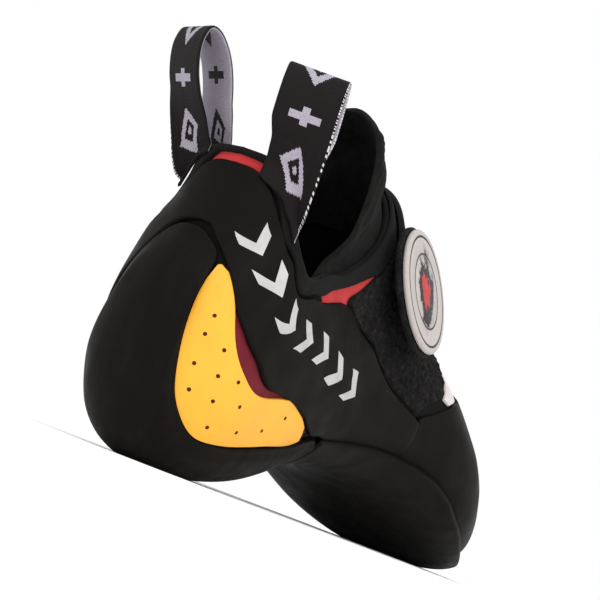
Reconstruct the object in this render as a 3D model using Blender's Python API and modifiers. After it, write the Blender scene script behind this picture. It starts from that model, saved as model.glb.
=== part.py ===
"""A right climbing shoe, standing empty on its sole: hollow upper, rubber shell, closure strap, pull loops.

The shoe points along +X, its inner (medial) side is +Y and up is +Z. Every layer is a sheet between two
offsets of one form, the outer face of the upper, which is lofted through the sections below.
"""

import math

import bmesh
import bpy
import numpy as np
from mathutils import Matrix, Vector

# Driving dimensions, in metres
LENGTH = 0.236
BALL_WIDTH = 0.085
HEEL_WIDTH = 0.057
INSTEP_HEIGHT = 0.100
RIM_HEIGHT = 0.101

UPPER_WALL = 0.0020
LAYER_GAP = 0.00035
RAND_THICKNESS = 0.0018
HEEL_RUBBER = 0.0030
SOLE_THICKNESS = 0.0034
WING_THICKNESS = 0.0009
PANEL_THICKNESS = 0.0011
BOARD_THICKNESS = 0.0018
INSOLE_THICKNESS = 0.0012
TONGUE_THICKNESS = 0.0022
TONGUE_FLARE = 0.0040
BINDING_THICKNESS = 0.0014
PAD_THICKNESS = 0.0014
VAMP_THICKNESS = 0.0010

STRAP_THICKNESS = 0.0020
STRAP_WIDTH = 0.030
TAB_DIAMETER = 0.044
TAB_BACKING = 0.0020
TAB_FACE = 0.0018
TAB_FACE_MARGIN = 0.0010
TAB_ROUNDING = 0.0006

LOOP_WIDTH = 0.0200
LOOP_THICKNESS = 0.0011
LOOP_HEIGHT = 0.0400
LOOP_HALF_DEPTH = 0.0064
LOOP_OUTER_LEG = 0.0080
LOOP_INNER_LEG = 0.010

# Sections of the upper's outer face, from the toe tip to the collar. Each one stands on a sole point and
# leans to a top point; sole_x and top_x are shares of LENGTH, sole_z and top_z of the section's height,
# lateral, medial and centre of its width. widest is how far up the section its widest point is, and the
# powers say how square its lower and upper halves are.
# name, sole_x, sole_z, top_x, top_z, lateral, medial, centre, widest, lower_power, upper_power
FORE_SECTIONS = (
    ("tip", 1.000, 0.130, 1.000, 0.130, 0.000, 0.000, 0.105, 0.50, 2.0, 2.0),
    ("nose", 0.992, 0.085, 0.988, 0.185, 0.150, 0.140, 0.105, 0.45, 2.2, 2.0),
    ("toe_ends", 0.958, 0.055, 0.950, 0.270, 0.285, 0.215, 0.092, 0.40, 2.6, 2.0),
    ("toes", 0.893, 0.054, 0.876, 0.342, 0.405, 0.295, 0.070, 0.36, 3.0, 2.0),
    ("knuckles", 0.808, 0.092, 0.783, 0.465, 0.486, 0.428, 0.035, 0.34, 3.0, 2.1),
    ("ball", 0.713, 0.163, 0.682, 0.600, 0.514, 0.512, 0.000, 0.32, 3.0, 2.2),
    ("waist", 0.622, 0.222, 0.588, 0.740, 0.482, 0.478, 0.000, 0.32, 2.8, 2.2),
    ("instep", 0.521, 0.242, 0.504, 0.862, 0.412, 0.400, 0.000, 0.34, 2.6, 2.0),
)
REAR_SECTIONS = (
    ("arch", 0.419, 0.216, 0.436, 0.988, 0.552, 0.518, 0.000, 0.36, 2.6, 2.0),
    ("heel_front", 0.313, 0.152, 0.390, 1.122, 0.518, 0.500, 0.000, 0.38, 2.6, 2.0),
    ("heel_seat", 0.216, 0.053, 0.364, 1.200, 0.509, 0.505, 0.000, 0.36, 2.6, 2.0),
    ("heel_base", 0.125, 0.020, 0.343, 1.245, 0.502, 0.502, 0.000, 0.36, 2.6, 2.0),
    ("heel_corner", 0.057, 0.056, 0.326, 1.275, 0.500, 0.500, 0.000, 0.34, 2.6, 2.0),
    ("heel_low", 0.021, 0.174, 0.313, 1.296, 0.496, 0.496, 0.000, 0.34, 2.5, 2.0),
    ("heel_bulge", 0.013, 0.332, 0.302, 1.310, 0.486, 0.486, 0.000, 0.36, 2.4, 2.0),
    ("heel_high", 0.021, 0.510, 0.292, 1.318, 0.458, 0.458, 0.000, 0.40, 2.3, 2.0),
    ("achilles", 0.041, 0.705, 0.283, 1.322, 0.405, 0.405, 0.000, 0.44, 2.2, 2.0),
    ("rim", 0.055, 1.000, 0.271, 1.322, 0.380, 0.380, 0.000, 0.50, 2.2, 2.0),
)
LAST_STATION = len(FORE_SECTIONS) + len(REAR_SECTIONS) - 1

# Edges on the form. A station is a section's number, counted from the toe tip, and an angle runs round the
# section in degrees: 0 under the sole and behind the heel, 90 at the side, 180 on the instep.
# angle, station of the collar's edge, stations that the binding reaches below it
COLLAR = (
    (0, 17.00, 0.12), (20, 16.92, 0.12), (42, 16.68, 0.16), (58, 16.25, 0.38), (69, 15.60, 0.56),
    (78, 15.00, 0.82), (87, 14.40, 1.02), (95, 13.70, 0.96), (103, 13.02, 0.78), (107, 12.68, 0.66),
    (112, 11.90, 0.82), (117, 11.25, 0.86), (122, 10.75, 1.00), (134, 10.05, 0.80), (152, 9.60, 0.62),
    (180, 9.40, 0.48),
)
# angle, station of the tongue's root, station of its free edge
TONGUE = (
    (98, 11.4, 12.70), (106, 10.8, 12.80), (116, 10.1, 12.72), (127, 9.4, 12.85),
    (142, 8.8, 13.35), (155, 8.4, 14.35), (167, 8.2, 15.35), (180, 8.1, 15.85),
)
# How many stations above the collar the tongue starts to flare, and over how many it goes on
TONGUE_FLARE_START, TONGUE_FLARE_LENGTH = 0.3, 1.6
# station, lateral edge angle, medial edge angle of the outsole with its lateral wing
OUTSOLE = (
    (0.80, -58, 58), (1.2, -66, 66), (2.0, -70, 71), (3.0, -67, 68), (4.0, -65, 66), (5.0, -66, 60),
    (5.35, -68, 51), (5.6, -70, 39), (5.85, -70, 27), (6.15, -70, 17), (6.5, -68, 11.5), (7.0, -64, 9.5),
    (7.5, -61, 8.5), (8.1, -57, 6), (8.6, -55, 4), (9.0, -55, 3),
)
# Stations where the outsole's medial notch ends and where it starts to thin out into its wing
NOTCH_LENGTH = 1.5
WING_START = 6.2
# station and angle of the heel rubber's front edge under the arch, and of its free edge from the lateral to
# the medial front corner
HEEL_CUP_FRONT = ((9.02, -52), (9.02, 46))
HEEL_CUP_EDGE = (
    (9.12, -55), (9.62, -57.5), (10.5, -55.5), (11.6, -45), (12.25, -34), (13.0, -25.5), (13.6, -21),
    (14.35, -17.5), (15.0, -16), (15.68, -17.5), (16.0, -4), (16.06, 8), (15.95, 22), (15.6, 34),
    (15.0, 42), (14.2, 48), (13.2, 51), (12.0, 52), (10.8, 51.5), (9.62, 51), (9.12, 49),
)
# The station where the toe rand ends at the sides, against the sling band's front edge
BAND_FRONT = 7.0
RAND_REAR = BAND_FRONT - 0.02
# station and angle of the sling band's lower and upper edges, lateral side, from behind the heel forwards
SLING_LATERAL_LOWER = (
    (16.14, 0), (16.10, -5), (15.76, -20), (15.30, -32.5), (14.64, -44.5), (13.85, -59), (12.9, -73),
    (11.75, -79), (10.95, -79.5), (10.25, -76), (9.76, -68), (9.46, -61.5), (9.1, -57.5), (8.6, -50),
    (7.9, -47.5), (BAND_FRONT, -47.5),
)
SLING_LATERAL_UPPER = (
    (16.76, 0), (16.70, -18), (16.40, -38), (15.82, -57), (14.96, -69), (14.10, -78), (13.30, -87),
    (12.66, -95), (12.14, -101.5), (11.6, -105.2), (11.0, -106.8), (10.3, -105.4), (9.3, -99.8),
    (8.65, -95.2), (7.9, -92.0), (BAND_FRONT, -91.5),
)
SLING_MEDIAL_LOWER = (
    (16.14, 0), (16.14, 8), (16.02, 23), (15.66, 36), (15.05, 44.5), (14.2, 54), (13.1, 68),
    (11.75, 78), (10.95, 79.5), (10.25, 76), (9.76, 68), (9.46, 59), (9.1, 52.5), (8.6, 47.5),
    (7.9, 46), (BAND_FRONT, 46),
)
SLING_MEDIAL_UPPER = (
    (16.76, 0), (16.70, 18), (16.40, 38), (15.82, 57), (14.96, 69), (14.10, 78), (13.30, 87),
    (12.66, 95), (12.08, 101), (11.5, 107), (10.7, 110.5), (9.9, 112), (9.1, 110), (8.4, 106),
    (7.7, 102), (BAND_FRONT, 99),
)
# station and angle of the heel panels' lower and upper edges, from the top corner forwards
PANEL_LATERAL = (
    ((15.56, -21.0), (15.0, -18.2), (14.35, -19.3), (13.6, -22.9), (13.0, -27.4), (12.25, -35.8),
     (11.6, -46.8), (10.6, -57.2), (9.86, -59.4), (9.66, -60.2)),
    ((15.56, -22.2), (15.1, -32.4), (14.55, -43.0), (13.85, -52.5), (12.85, -65.5), (11.75, -74.5),
     (10.95, -77.2), (10.3, -73.4), (9.9, -67.0), (9.72, -62.6)),
)
PANEL_MEDIAL = (
    ((14.5, 47.8), (14.2, 50.4), (13.7, 53.0), (13.2, 54.2), (12.6, 54.8), (12.0, 54.8),
     (11.4, 54.4), (10.8, 53.6), (10.2, 53.4), (9.66, 53.2)),
    ((14.5, 49.0), (14.2, 53.0), (13.7, 58.8), (13.2, 64.6), (12.6, 70.4), (12.0, 74.8),
     (11.4, 76.8), (10.8, 77.0), (10.2, 73.6), (9.66, 60.0)),
)
# angle, station of the toe rand's rear edge, from the sole's medial edge over the toes to its lateral edge
TOE_RAND = (
    (0, RAND_REAR), (100, RAND_REAR), (110, 6.30), (125, 5.75), (150, 5.30), (180, 5.15), (210, 5.35),
    (235, 5.80), (248, 6.22), (258, 6.60), (266, RAND_REAR), (360, RAND_REAR),
)
# The rand is whole up to this station, and behind it opens as far round as this, beside the board
TOE_RAND_CLOSED = 1.0
TOE_RAND_ANGLE = 47
BOARD_ANGLE = 44
# How far round the opening under the foot reaches in the upper, and its first and last stations
UPPER_OPENING_ANGLE = 32
UPPER_OPENING = (1.9, 8.2)
# The insole's first and last stations, and how far round it reaches
INSOLE = (1.0, 12.4)
INSOLE_ANGLE = 40
# angle, front and rear station of the pale vamp panel
VAMP = (
    (-113, 6.26, 6.40), (-125, 5.88, 6.24), (-142, 5.58, 6.22), (-156, 5.38, 6.46), (-168, 5.30, 6.95),
    (-180, 5.25, 7.40), (-195, 5.30, 7.75), (-212, 5.44, 7.85), (-226, 5.68, 7.82), (-240, 6.06, 7.75),
)
# angle, front and rear station of the closure pad, from its lower to its upper edge
CLOSURE_PAD = (
    (-93.4, 7.14, 8.08), (-96.2, 7.02, 8.66), (-100.8, 6.88, 9.30), (-104.6, 6.75, 9.98),
    (-108, 6.60, 10.88), (-113, 6.42, 10.50), (-119, 6.36, 10.02), (-124, 6.33, 9.60),
    (-132, 6.32, 9.22), (-145, 6.32, 8.95), (-154, 6.55, 8.80), (-159, 6.80, 8.66),
)
# angle, station of the strap's centre line, from the medial anchor over the instep to the lateral side
STRAP = (
    (96, 7.90), (110, 8.00), (125, 8.10), (140, 8.18), (155, 8.25), (170, 8.30), (185, 8.35),
    (200, 8.40), (215, 8.42), (228, 8.42), (241, 8.40),
)
# station and angle of the round tab's middle, and the way the tab faces
TAB_PLACE = (8.42, 235)
TAB_FACING = (0.093, -0.911, 0.404)

# name, angle on the rim, height above it as a share of LOOP_HEIGHT, lean forwards and outwards as shares of
# the height, and how far the bow is turned about the vertical, in degrees
LOOPS = (
    ("pull_loop_lateral", -44, 0.900, -0.16, -0.06, -20),
    ("pull_loop_medial", 44, 0.975, -0.02, 0.50, 20),
)
# Shares of LOOP_HALF_DEPTH outwards and of the height up, round the loop from its outer to its inner foot
LOOP_PROFILE = (
    (0.16, 0.05), (0.42, 0.22), (0.86, 0.44), (1.00, 0.62), (0.86, 0.82), (0.42, 0.96), (0.00, 1.00),
    (-0.46, 0.96), (-0.86, 0.82), (-1.00, 0.62), (-0.86, 0.42), (-0.56, 0.22), (-0.36, 0.05),
)

# name: colour, roughness, how metallic it is
MATERIALS = {
    "black_rubber": ((0.016, 0.015, 0.014), 0.62, 0.0),
    "black_fabric": ((0.012, 0.012, 0.012), 0.85, 0.0),
    "black_webbing": ((0.014, 0.012, 0.013), 0.75, 0.0),
    "red_microfibre": ((0.42, 0.035, 0.045), 0.70, 0.0),
    "yellow_rubber": ((0.93, 0.47, 0.035), 0.55, 0.0),
    "pale_microfibre": ((0.62, 0.60, 0.59), 0.70, 0.0),
    "board": ((0.020, 0.018, 0.018), 0.80, 0.0),
}


def clear_scene():
    for obj in list(bpy.data.objects):
        bpy.data.objects.remove(obj, do_unlink=True)


def new_collection(name):
    collection = bpy.data.collections.new(name)
    bpy.context.scene.collection.children.link(collection)
    return collection


def material(name):
    found = bpy.data.materials.get(name)
    if found:
        return found
    colour, roughness, metallic = MATERIALS[name]
    made = bpy.data.materials.new(name)
    made.use_nodes = True
    shader = made.node_tree.nodes["Principled BSDF"]
    shader.inputs["Base Color"].default_value = (*colour, 1.0)
    shader.inputs["Roughness"].default_value = roughness
    shader.inputs["Metallic"].default_value = metallic
    return made


def section_table():
    """The sections as one row each, their shares turned into metres."""
    rows = []
    for sections, height, width in (
        (FORE_SECTIONS, INSTEP_HEIGHT, BALL_WIDTH),
        (REAR_SECTIONS, RIM_HEIGHT, HEEL_WIDTH),
    ):
        size = np.array([LENGTH, height, LENGTH, height, width, width, width, 1.0, 1.0, 1.0])
        rows.extend(np.array(section[1:]) * size for section in sections)
    return np.array(rows)


def smooth(values, position):
    """A Catmull-Rom curve through the rows of values, at fractional row numbers."""
    last = len(values) - 1
    position = np.clip(np.asarray(position, float), 0, last)
    start = np.minimum(np.floor(position).astype(int), last - 1)
    t = (position - start)[..., None]
    p0, p1, p2, p3 = (values[np.clip(start + k, 0, last)] for k in (-1, 0, 1, 2))
    slope, bend, twist = p2 - p0, 2 * p0 - 5 * p1 + 4 * p2 - p3, 3 * p1 - p0 - 3 * p2 + p3
    return 0.5 * (2 * p1 + slope * t + bend * t**2 + twist * t**3)


def along(rows, count):
    """count points spread evenly over a smooth curve through the rows."""
    rows = np.array(rows, float)
    return smooth(rows, np.linspace(0, len(rows) - 1, count))


def column(rows, key, at):
    """A table's columns, read at values of its first one."""
    rows = np.array(rows, float)
    order = np.argsort(rows[:, 0])
    return np.interp(at, rows[order, 0], rows[order, key])


def form(station, angle):
    """Points on the upper's outer face, for a station and an angle in degrees."""
    row = smooth(SECTIONS, station)
    sole_x, sole_z, top_x, top_z, lateral, medial, centre, widest, lower, upper = np.moveaxis(row, -1, 0)
    turn = np.radians(angle)
    up, side = np.cos(turn), np.sin(turn)
    power = np.where(up >= 0, lower, upper)
    rise = np.abs(up) ** (2 / power)
    spread = np.sign(side) * np.abs(side) ** (2 / power)
    share = np.where(up >= 0, widest * (1 - rise), widest + (1 - widest) * rise)
    half = np.where(side >= 0, medial, lateral)
    return np.stack(
        [sole_x + (top_x - sole_x) * share, centre + half * spread, sole_z + (top_z - sole_z) * share], -1
    )


def form_normal(station, angle):
    """Outward unit normals of the form."""
    station_step, angle_step = 0.03, 1.5
    inside = np.clip(station, 0.12, LAST_STATION)
    ahead, behind = np.minimum(inside + station_step, LAST_STATION), inside - station_step
    by_station = form(ahead, angle) - form(behind, angle)
    by_angle = form(inside, angle + angle_step) - form(inside, angle - angle_step)
    normal = np.cross(by_station, by_angle)
    normal /= np.linalg.norm(normal, axis=-1, keepdims=True)
    return np.where(np.asarray(station)[..., None] == 0, (1.0, 0.0, 0.0), normal)


def offset_form(station, angle, distance):
    """The form moved out by a distance, and never below the floor."""
    station, angle = np.broadcast_arrays(np.asarray(station, float), np.asarray(angle, float))
    points = form(station, angle) + form_normal(station, angle) * np.asarray(distance)[..., None]
    points[..., 2] = np.maximum(points[..., 2], 0.0)
    return points


# How much further than its own sag a flat cell is moved, because the cells beside it move its corners too
SAG_ALLOWANCE = 1.4


def flat_cells(station, angle, distance, side):
    """A grid of offset points whose flat cells stay outside (side 1) or inside (side -1) the curved offset.

    A flat cell cuts a curve short, so layers that meet would cross where their cells differ.
    """
    station, angle, distance = np.broadcast_arrays(station, angle, distance)
    points = offset_form(station, angle, distance)
    normals = form_normal(station, angle)
    push = np.zeros(station.shape)
    all_but_last, all_but_first, whole = slice(None, -1), slice(1, None), slice(None)
    for near, far in (
        ((all_but_last, whole), (all_but_first, whole)),
        ((whole, all_but_last), (whole, all_but_first)),
        ((all_but_last, all_but_last), (all_but_first, all_but_first)),
        ((all_but_last, all_but_first), (all_but_first, all_but_last)),
    ):
        middle = offset_form(*((value[near] + value[far]) / 2 for value in (station, angle, distance)))
        chord = (points[near] + points[far]) / 2
        for corner in (near, far):
            sag = SAG_ALLOWANCE * np.sum((middle - chord) * normals[corner], -1)
            push[corner] = np.maximum(push[corner] * side, sag * side) * side
    points = points + normals * push[..., None]
    points[..., 2] = np.maximum(points[..., 2], 0.0)
    return points


def link(name, mesh, material_name):
    obj = bpy.data.objects.new(name, mesh)
    PARTS.objects.link(obj)
    mesh.materials.append(material(material_name))
    mesh.shade_smooth()
    mesh.set_sharp_from_angle(angle=math.radians(40))
    return obj


def thick_sheet(name, outer, inner, material_name, ring=False, tip=False, keep=None):
    """A closed solid between two grids of points.

    A ring joins its last column to its first, a tip's first row is one point, and keep says which cells stay.
    """
    rows, columns = outer.shape[:2]
    bm = bmesh.new()
    faces = []
    for grid in (outer, inner):
        lines = [[bm.verts.new(point) for point in line] for line in grid]
        if tip:
            lines[0] = lines[0][:1] * columns
        faces.append(lines)
    top, bottom = faces
    rim = {}
    for i in range(rows - 1):
        for j in range(columns if ring else columns - 1):
            if keep is not None and not keep[i, j]:
                continue
            after = (j + 1) % columns
            corners = [(i, j), (i + 1, j), (i + 1, after), (i, after)]
            if tip and i == 0:
                corners = [(0, 0), (1, j), (1, after)]
            bm.faces.new([top[a][b] for a, b in corners])
            bm.faces.new([bottom[a][b] for a, b in reversed(corners)])
            for edge in zip(corners, corners[1:] + corners[:1]):
                if edge[::-1] in rim:
                    del rim[edge[::-1]]
                else:
                    rim[edge] = True
    for (a, b), (c, d) in rim:
        bm.faces.new((top[c][d], top[a][b], bottom[a][b], bottom[c][d]))
    bmesh.ops.delete(bm, geom=[v for v in bm.verts if not v.link_faces], context="VERTS")
    bmesh.ops.recalc_face_normals(bm, faces=bm.faces)
    mesh = bpy.data.meshes.new(name)
    bm.to_mesh(mesh)
    bm.free()
    return link(name, mesh, material_name)


def layer(name, station, angle, low, thickness, material_name, **sheet):
    """A sheet that follows the form, from the offset low to low + thickness."""
    outer = flat_cells(station, angle, np.add(low, thickness), -1)
    inner = flat_cells(station, angle, low, 1)
    return thick_sheet(name, outer, inner, material_name, **sheet)


def between(first, second, across):
    """A grid from one curve of (station, angle) points to another."""
    grid = np.linspace(first, second, across, axis=1)
    return grid[..., 0], grid[..., 1]


def along_stations(angle, first, last, count):
    """A grid with a row for each angle, which runs from its first to its last station."""
    station = np.linspace(first, last, count, axis=1)
    return station, np.broadcast_to(angle[:, None], station.shape)


def ring_angles(opening, under, over):
    """Angles all the way round a section: under steps across the opening's two sides, then over steps."""
    below = np.linspace(-opening, opening, under, endpoint=False)
    above = np.linspace(opening, 360 - opening, over, endpoint=False)
    return np.concatenate([below, above])


def from_heel(angle):
    """An angle's distance from 0, either way round, for tables that are the same on both sides."""
    return np.abs((np.asarray(angle) + 180) % 360 - 180)


def cells_off_opening(station, under, opening):
    """Which cells of a ring stay: all but its first under columns, between the opening's two stations."""
    middle = (station[:-1] + station[1:]) / 2
    across = np.arange(station.shape[1]) < under
    return ~((middle > opening[0]) & (middle < opening[1]) & across)


def upper():
    """One hollow wall, open at the collar and throat, and under the foot where the board closes it."""
    under, over, front_rows, rear_rows = 3, 25, 13, 15
    throat_start = 8.6
    crowded_to_toe = 0.85
    angle = ring_angles(UPPER_OPENING_ANGLE, under, over)
    edge = column(COLLAR, 1, from_heel(angle))
    front = np.outer(np.linspace(0, 1, front_rows) ** crowded_to_toe, np.full(len(angle), throat_start))
    rear = np.linspace(np.full(len(angle), throat_start), edge, rear_rows)[1:]
    station = np.vstack([front, rear])
    angles = np.broadcast_to(angle, station.shape)
    keep = cells_off_opening(station, under, UPPER_OPENING)
    ring = {"ring": True, "tip": True, "keep": keep}
    layer("upper", station, angles, -UPPER_WALL, UPPER_WALL, "red_microfibre", **ring)


def board_and_insole():
    """The midsole board under the hole in the upper, and the insole above it."""
    stations = np.linspace(TOE_RAND_CLOSED + 0.08, HEEL_CUP_FRONT[0][0] - 0.02, 16)
    station, angle = np.meshgrid(stations, np.linspace(-BOARD_ANGLE, BOARD_ANGLE, 7), indexing="ij")
    layer("midsole_board", station, angle, LAYER_GAP, BOARD_THICKNESS, "board")
    turns = np.linspace(-INSOLE_ANGLE, INSOLE_ANGLE, 6)
    station, angle = np.meshgrid(np.linspace(*INSOLE, 24), turns, indexing="ij")
    top = -UPPER_WALL - LAYER_GAP
    layer("insole", station, angle, top - INSOLE_THICKNESS, INSOLE_THICKNESS, "black_fabric")


def outsole():
    """The forefoot sole, with a wing that runs back along the lateral side and thins out."""
    first, notch, last = OUTSOLE[0][0], OUTSOLE[5][0], OUTSOLE[-1][0]
    notch_end = notch + NOTCH_LENGTH
    fore, around_notch = np.linspace(first, notch, 9), np.linspace(notch, notch_end, 8)[1:]
    stations = np.concatenate([fore, around_notch, np.linspace(notch_end, last, 6)[1:]])
    angle = np.linspace(column(OUTSOLE, 1, stations), column(OUTSOLE, 2, stations), 10, axis=1)
    station = np.broadcast_to(stations[:, None], angle.shape)
    low = LAYER_GAP + RAND_THICKNESS + LAYER_GAP
    thickness = np.interp(station, (WING_START, last), (SOLE_THICKNESS, WING_THICKNESS))
    layer("front_outsole", station, angle, low, thickness, "black_rubber")


def heel_cup():
    """The heel rubber: a bowl round the heel's back and underside, open towards the arch."""
    count, rows = 23, 13
    station, angle = between(along(HEEL_CUP_FRONT, count), along(HEEL_CUP_EDGE, count), rows)
    layer("heel_cup", station, angle, LAYER_GAP, HEEL_RUBBER, "black_rubber")


def sling_band():
    """The tensioned band: from one side of the arch up round the heel and down to the other side."""
    count = 25
    lower, upper_edge = (
        np.vstack([along(medial, count)[::-1], along(lateral, count)[1:]])
        for medial, lateral in (
            (SLING_MEDIAL_LOWER, SLING_LATERAL_LOWER), (SLING_MEDIAL_UPPER, SLING_LATERAL_UPPER)
        )
    )
    station, angle = between(lower, upper_edge, 4)
    layer("sling_band", station, angle, LAYER_GAP, RAND_THICKNESS, "black_rubber")


def heel_panel(name, edges):
    lower, upper_edge = (along(edge, 17) for edge in edges)
    station, angle = between(lower, upper_edge, 5)
    layer(name, station, angle, LAYER_GAP, PANEL_THICKNESS, "yellow_rubber")


def toe_rand():
    """Rubber round the toes and over them, down to the board's edge under the sole."""
    under, over, closed_rows, rows = 4, 22, 3, 10
    angle = ring_angles(TOE_RAND_ANGLE, under, over)
    edge = column(TOE_RAND, 1, angle % 360)
    front = np.outer(np.linspace(0, TOE_RAND_CLOSED, closed_rows), np.ones(len(angle)))
    station = np.vstack([front, np.linspace(front[-1], edge, rows)[1:]])
    angles = np.broadcast_to(angle, station.shape)
    keep = cells_off_opening(station, under, (TOE_RAND_CLOSED, LAST_STATION))
    ring = {"ring": True, "tip": True, "keep": keep}
    layer("toe_rand", station, angles, LAYER_GAP, RAND_THICKNESS, "black_rubber", **ring)


def vamp_panel():
    angle = np.linspace(VAMP[0][0], VAMP[-1][0], 18)
    station, angles = along_stations(angle, column(VAMP, 1, angle), column(VAMP, 2, angle), 10)
    layer("vamp_panel", station, angles, LAYER_GAP, VAMP_THICKNESS, "pale_microfibre")


def closure_pad():
    angle = np.linspace(CLOSURE_PAD[0][0], CLOSURE_PAD[-1][0], 13)
    front, rear = column(CLOSURE_PAD, 1, angle), column(CLOSURE_PAD, 2, angle)
    station, angles = along_stations(angle, front, rear, 8)
    layer("closure_pad", station, angles, LAYER_GAP, PAD_THICKNESS, "black_fabric")


def collar_binding():
    """The binding along the collar's and the throat's edge, all the way round."""
    around = 36
    angle = np.linspace(0, 360, around, endpoint=False)
    edge, reach = column(COLLAR, 1, from_heel(angle)), column(COLLAR, 2, from_heel(angle))
    station = np.linspace(edge - reach, edge, 3)
    angles = np.broadcast_to(angle, station.shape)
    layer("collar_binding", station, angles, LAYER_GAP, BINDING_THICKNESS, "black_fabric", ring=True)


def tongue():
    """The stretch tongue, inside the throat and standing above it."""
    angle = np.linspace(TONGUE[0][0], 360 - TONGUE[0][0], 19)
    root, edge = column(TONGUE, 1, from_heel(angle)), column(TONGUE, 2, from_heel(angle))
    station, angles = along_stations(angle, root, edge, 7)
    collar = column(COLLAR, 1, from_heel(angles))
    above = np.clip((station - collar - TONGUE_FLARE_START) / TONGUE_FLARE_LENGTH, 0, 1)
    flare = TONGUE_FLARE * above**2 * (3 - 2 * above)
    low = flare - UPPER_WALL - LAYER_GAP - TONGUE_THICKNESS
    layer("tongue", station, angles, low, TONGUE_THICKNESS, "black_fabric")


def closure_strap():
    """The strap over the instep, from its medial anchor to the round tab; it returns its outer face."""
    turns = np.linspace(STRAP[0][0], STRAP[-1][0], 18)
    middle = column(STRAP, 1, turns)
    per_station = np.linalg.norm(form(middle + 0.5, turns) - form(middle - 0.5, turns), axis=1)
    half = STRAP_WIDTH / 2 / per_station
    station = middle[:, None] - np.linspace(-1, 1, 5) * half[:, None]
    angle = np.broadcast_to(turns[:, None], station.shape)
    low = LAYER_GAP + max(PAD_THICKNESS, RAND_THICKNESS) + LAYER_GAP
    layer("closure_strap", station, angle, low, STRAP_THICKNESS, "black_webbing")
    return offset_form(station, angle, low + STRAP_THICKNESS)


def disc(name, centre, facing, diameter, low, high, material_name):
    bm = bmesh.new()
    bmesh.ops.create_cone(
        bm, cap_ends=True, segments=28, radius1=diameter / 2, radius2=diameter / 2, depth=high - low
    )
    mesh = bpy.data.meshes.new(name)
    bm.to_mesh(mesh)
    bm.free()
    obj = link(name, mesh, material_name)
    turn = facing.to_track_quat("Z", "Y").to_matrix().to_4x4()
    obj.matrix_world = Matrix.Translation(centre + facing * (low + high) / 2) @ turn
    bevel = obj.modifiers.new("rounded_edge", "BEVEL")
    bevel.width = min(TAB_ROUNDING, (high - low) / 3)
    bevel.segments = 1
    bevel.limit_method = "ANGLE"


def round_tab(strap_face):
    """The strap's round tab, flat on the highest point of the strap under it."""
    facing = np.array(TAB_FACING) / np.linalg.norm(TAB_FACING)
    place = form(*TAB_PLACE)
    from_place = strap_face.reshape(-1, 3) - place
    height = from_place @ facing
    beside = np.linalg.norm(from_place - height[:, None] * facing, axis=1)
    seat = height[beside < TAB_DIAMETER / 2].max() + LAYER_GAP
    centre, facing = Vector(place + facing * seat), Vector(facing)
    disc("strap_tab_backing", centre, facing, TAB_DIAMETER, 0, TAB_BACKING, "black_webbing")
    low = TAB_BACKING + LAYER_GAP
    face = TAB_DIAMETER - 2 * TAB_FACE_MARGIN
    disc("strap_tab_face", centre, facing, face, low, low + TAB_FACE, "pale_microfibre")


def level_and_unit(vectors):
    """Vectors flattened onto the level plane, and of length 1."""
    level = vectors * (1, 1, 0)
    return level / np.linalg.norm(level, axis=-1, keepdims=True)


def leg(edge, angles, shares, length, distance, side):
    """Rows of points down one leg of a loop, on the form's offset, at the shares of the leg's length."""
    station_step = 0.5
    middle = len(angles) // 2
    high, low = form(edge[middle], angles[middle]), form(edge[middle] - station_step, angles[middle])
    per_metre = station_step / np.linalg.norm(high - low)
    return flat_cells(edge - shares[:, None] * length * per_metre, angles, distance, side)


def pull_loop(name, rim_angle, height_share, lean_forwards, lean_out, turn):
    """A webbing loop: one leg outside the collar, one inside it, and a bow above the rim."""
    across, half_arc = 3, 5.0
    held_below, free_above = 0.16, 0.50
    rim_station = COLLAR[0][1]
    arc = form(rim_station, np.array([rim_angle - half_arc, rim_angle + half_arc]))
    half_angle = half_arc * LOOP_WIDTH / np.linalg.norm(arc[1] - arc[0])
    angles = np.linspace(rim_angle - half_angle, rim_angle + half_angle, across)
    edge = column(COLLAR, 1, from_heel(angles))
    rim, out = form(edge, angles), level_and_unit(form_normal(edge, angles))
    turned = np.array(Matrix.Rotation(math.radians(turn), 3, "Z"))
    facing = turned @ out[across // 2]
    width_line = np.cross(facing, (0, 0, 1))
    straight = rim.mean(0) + np.outer(np.linspace(-LOOP_WIDTH, LOOP_WIDTH, across) / 2, width_line)
    outside = LAYER_GAP + BINDING_THICKNESS + LAYER_GAP + LOOP_THICKNESS / 2
    inside = -UPPER_WALL - LAYER_GAP - LOOP_THICKNESS / 2
    lines = list(leg(edge, angles, np.linspace(1, 0, 5), LOOP_OUTER_LEG, outside, 1))
    for outwards, rise in along(LOOP_PROFILE, 25):
        free = np.clip((rise - held_below) / (free_above - held_below), 0, 1)
        foot = outside if outwards > 0 else inside
        reach = outwards * LOOP_HALF_DEPTH + foot * (1 - free)
        lift = rise * height_share * LOOP_HEIGHT
        lean = lift * np.array([lean_forwards, 0, 1]) + facing * lean_out * lift * rise
        lines.append(rim * (1 - free) + straight * free + (out * (1 - free) + facing * free) * reach + lean)
    lines.extend(leg(edge, angles, np.linspace(0.15, 1, 4), LOOP_INNER_LEG, inside, -1))
    sheet = np.array(lines)
    normal = np.cross(np.gradient(sheet, axis=0), np.gradient(sheet, axis=1))
    normal /= np.linalg.norm(normal, axis=-1, keepdims=True)
    half = LOOP_THICKNESS / 2
    thick_sheet(name, sheet + normal * half, sheet - normal * half, "black_webbing")


def stand_at_origin():
    """Moves the shoe so that the origin is on the floor under the middle of its outline."""
    bpy.context.view_layer.update()
    corners = [obj.matrix_world @ v.co for obj in PARTS.objects for v in obj.data.vertices]
    low = [min(c[k] for c in corners) for k in range(3)]
    high = [max(c[k] for c in corners) for k in range(3)]
    shift = Matrix.Translation((-(low[0] + high[0]) / 2, -(low[1] + high[1]) / 2, -low[2]))
    for obj in PARTS.objects:
        obj.matrix_world = shift @ obj.matrix_world


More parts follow.
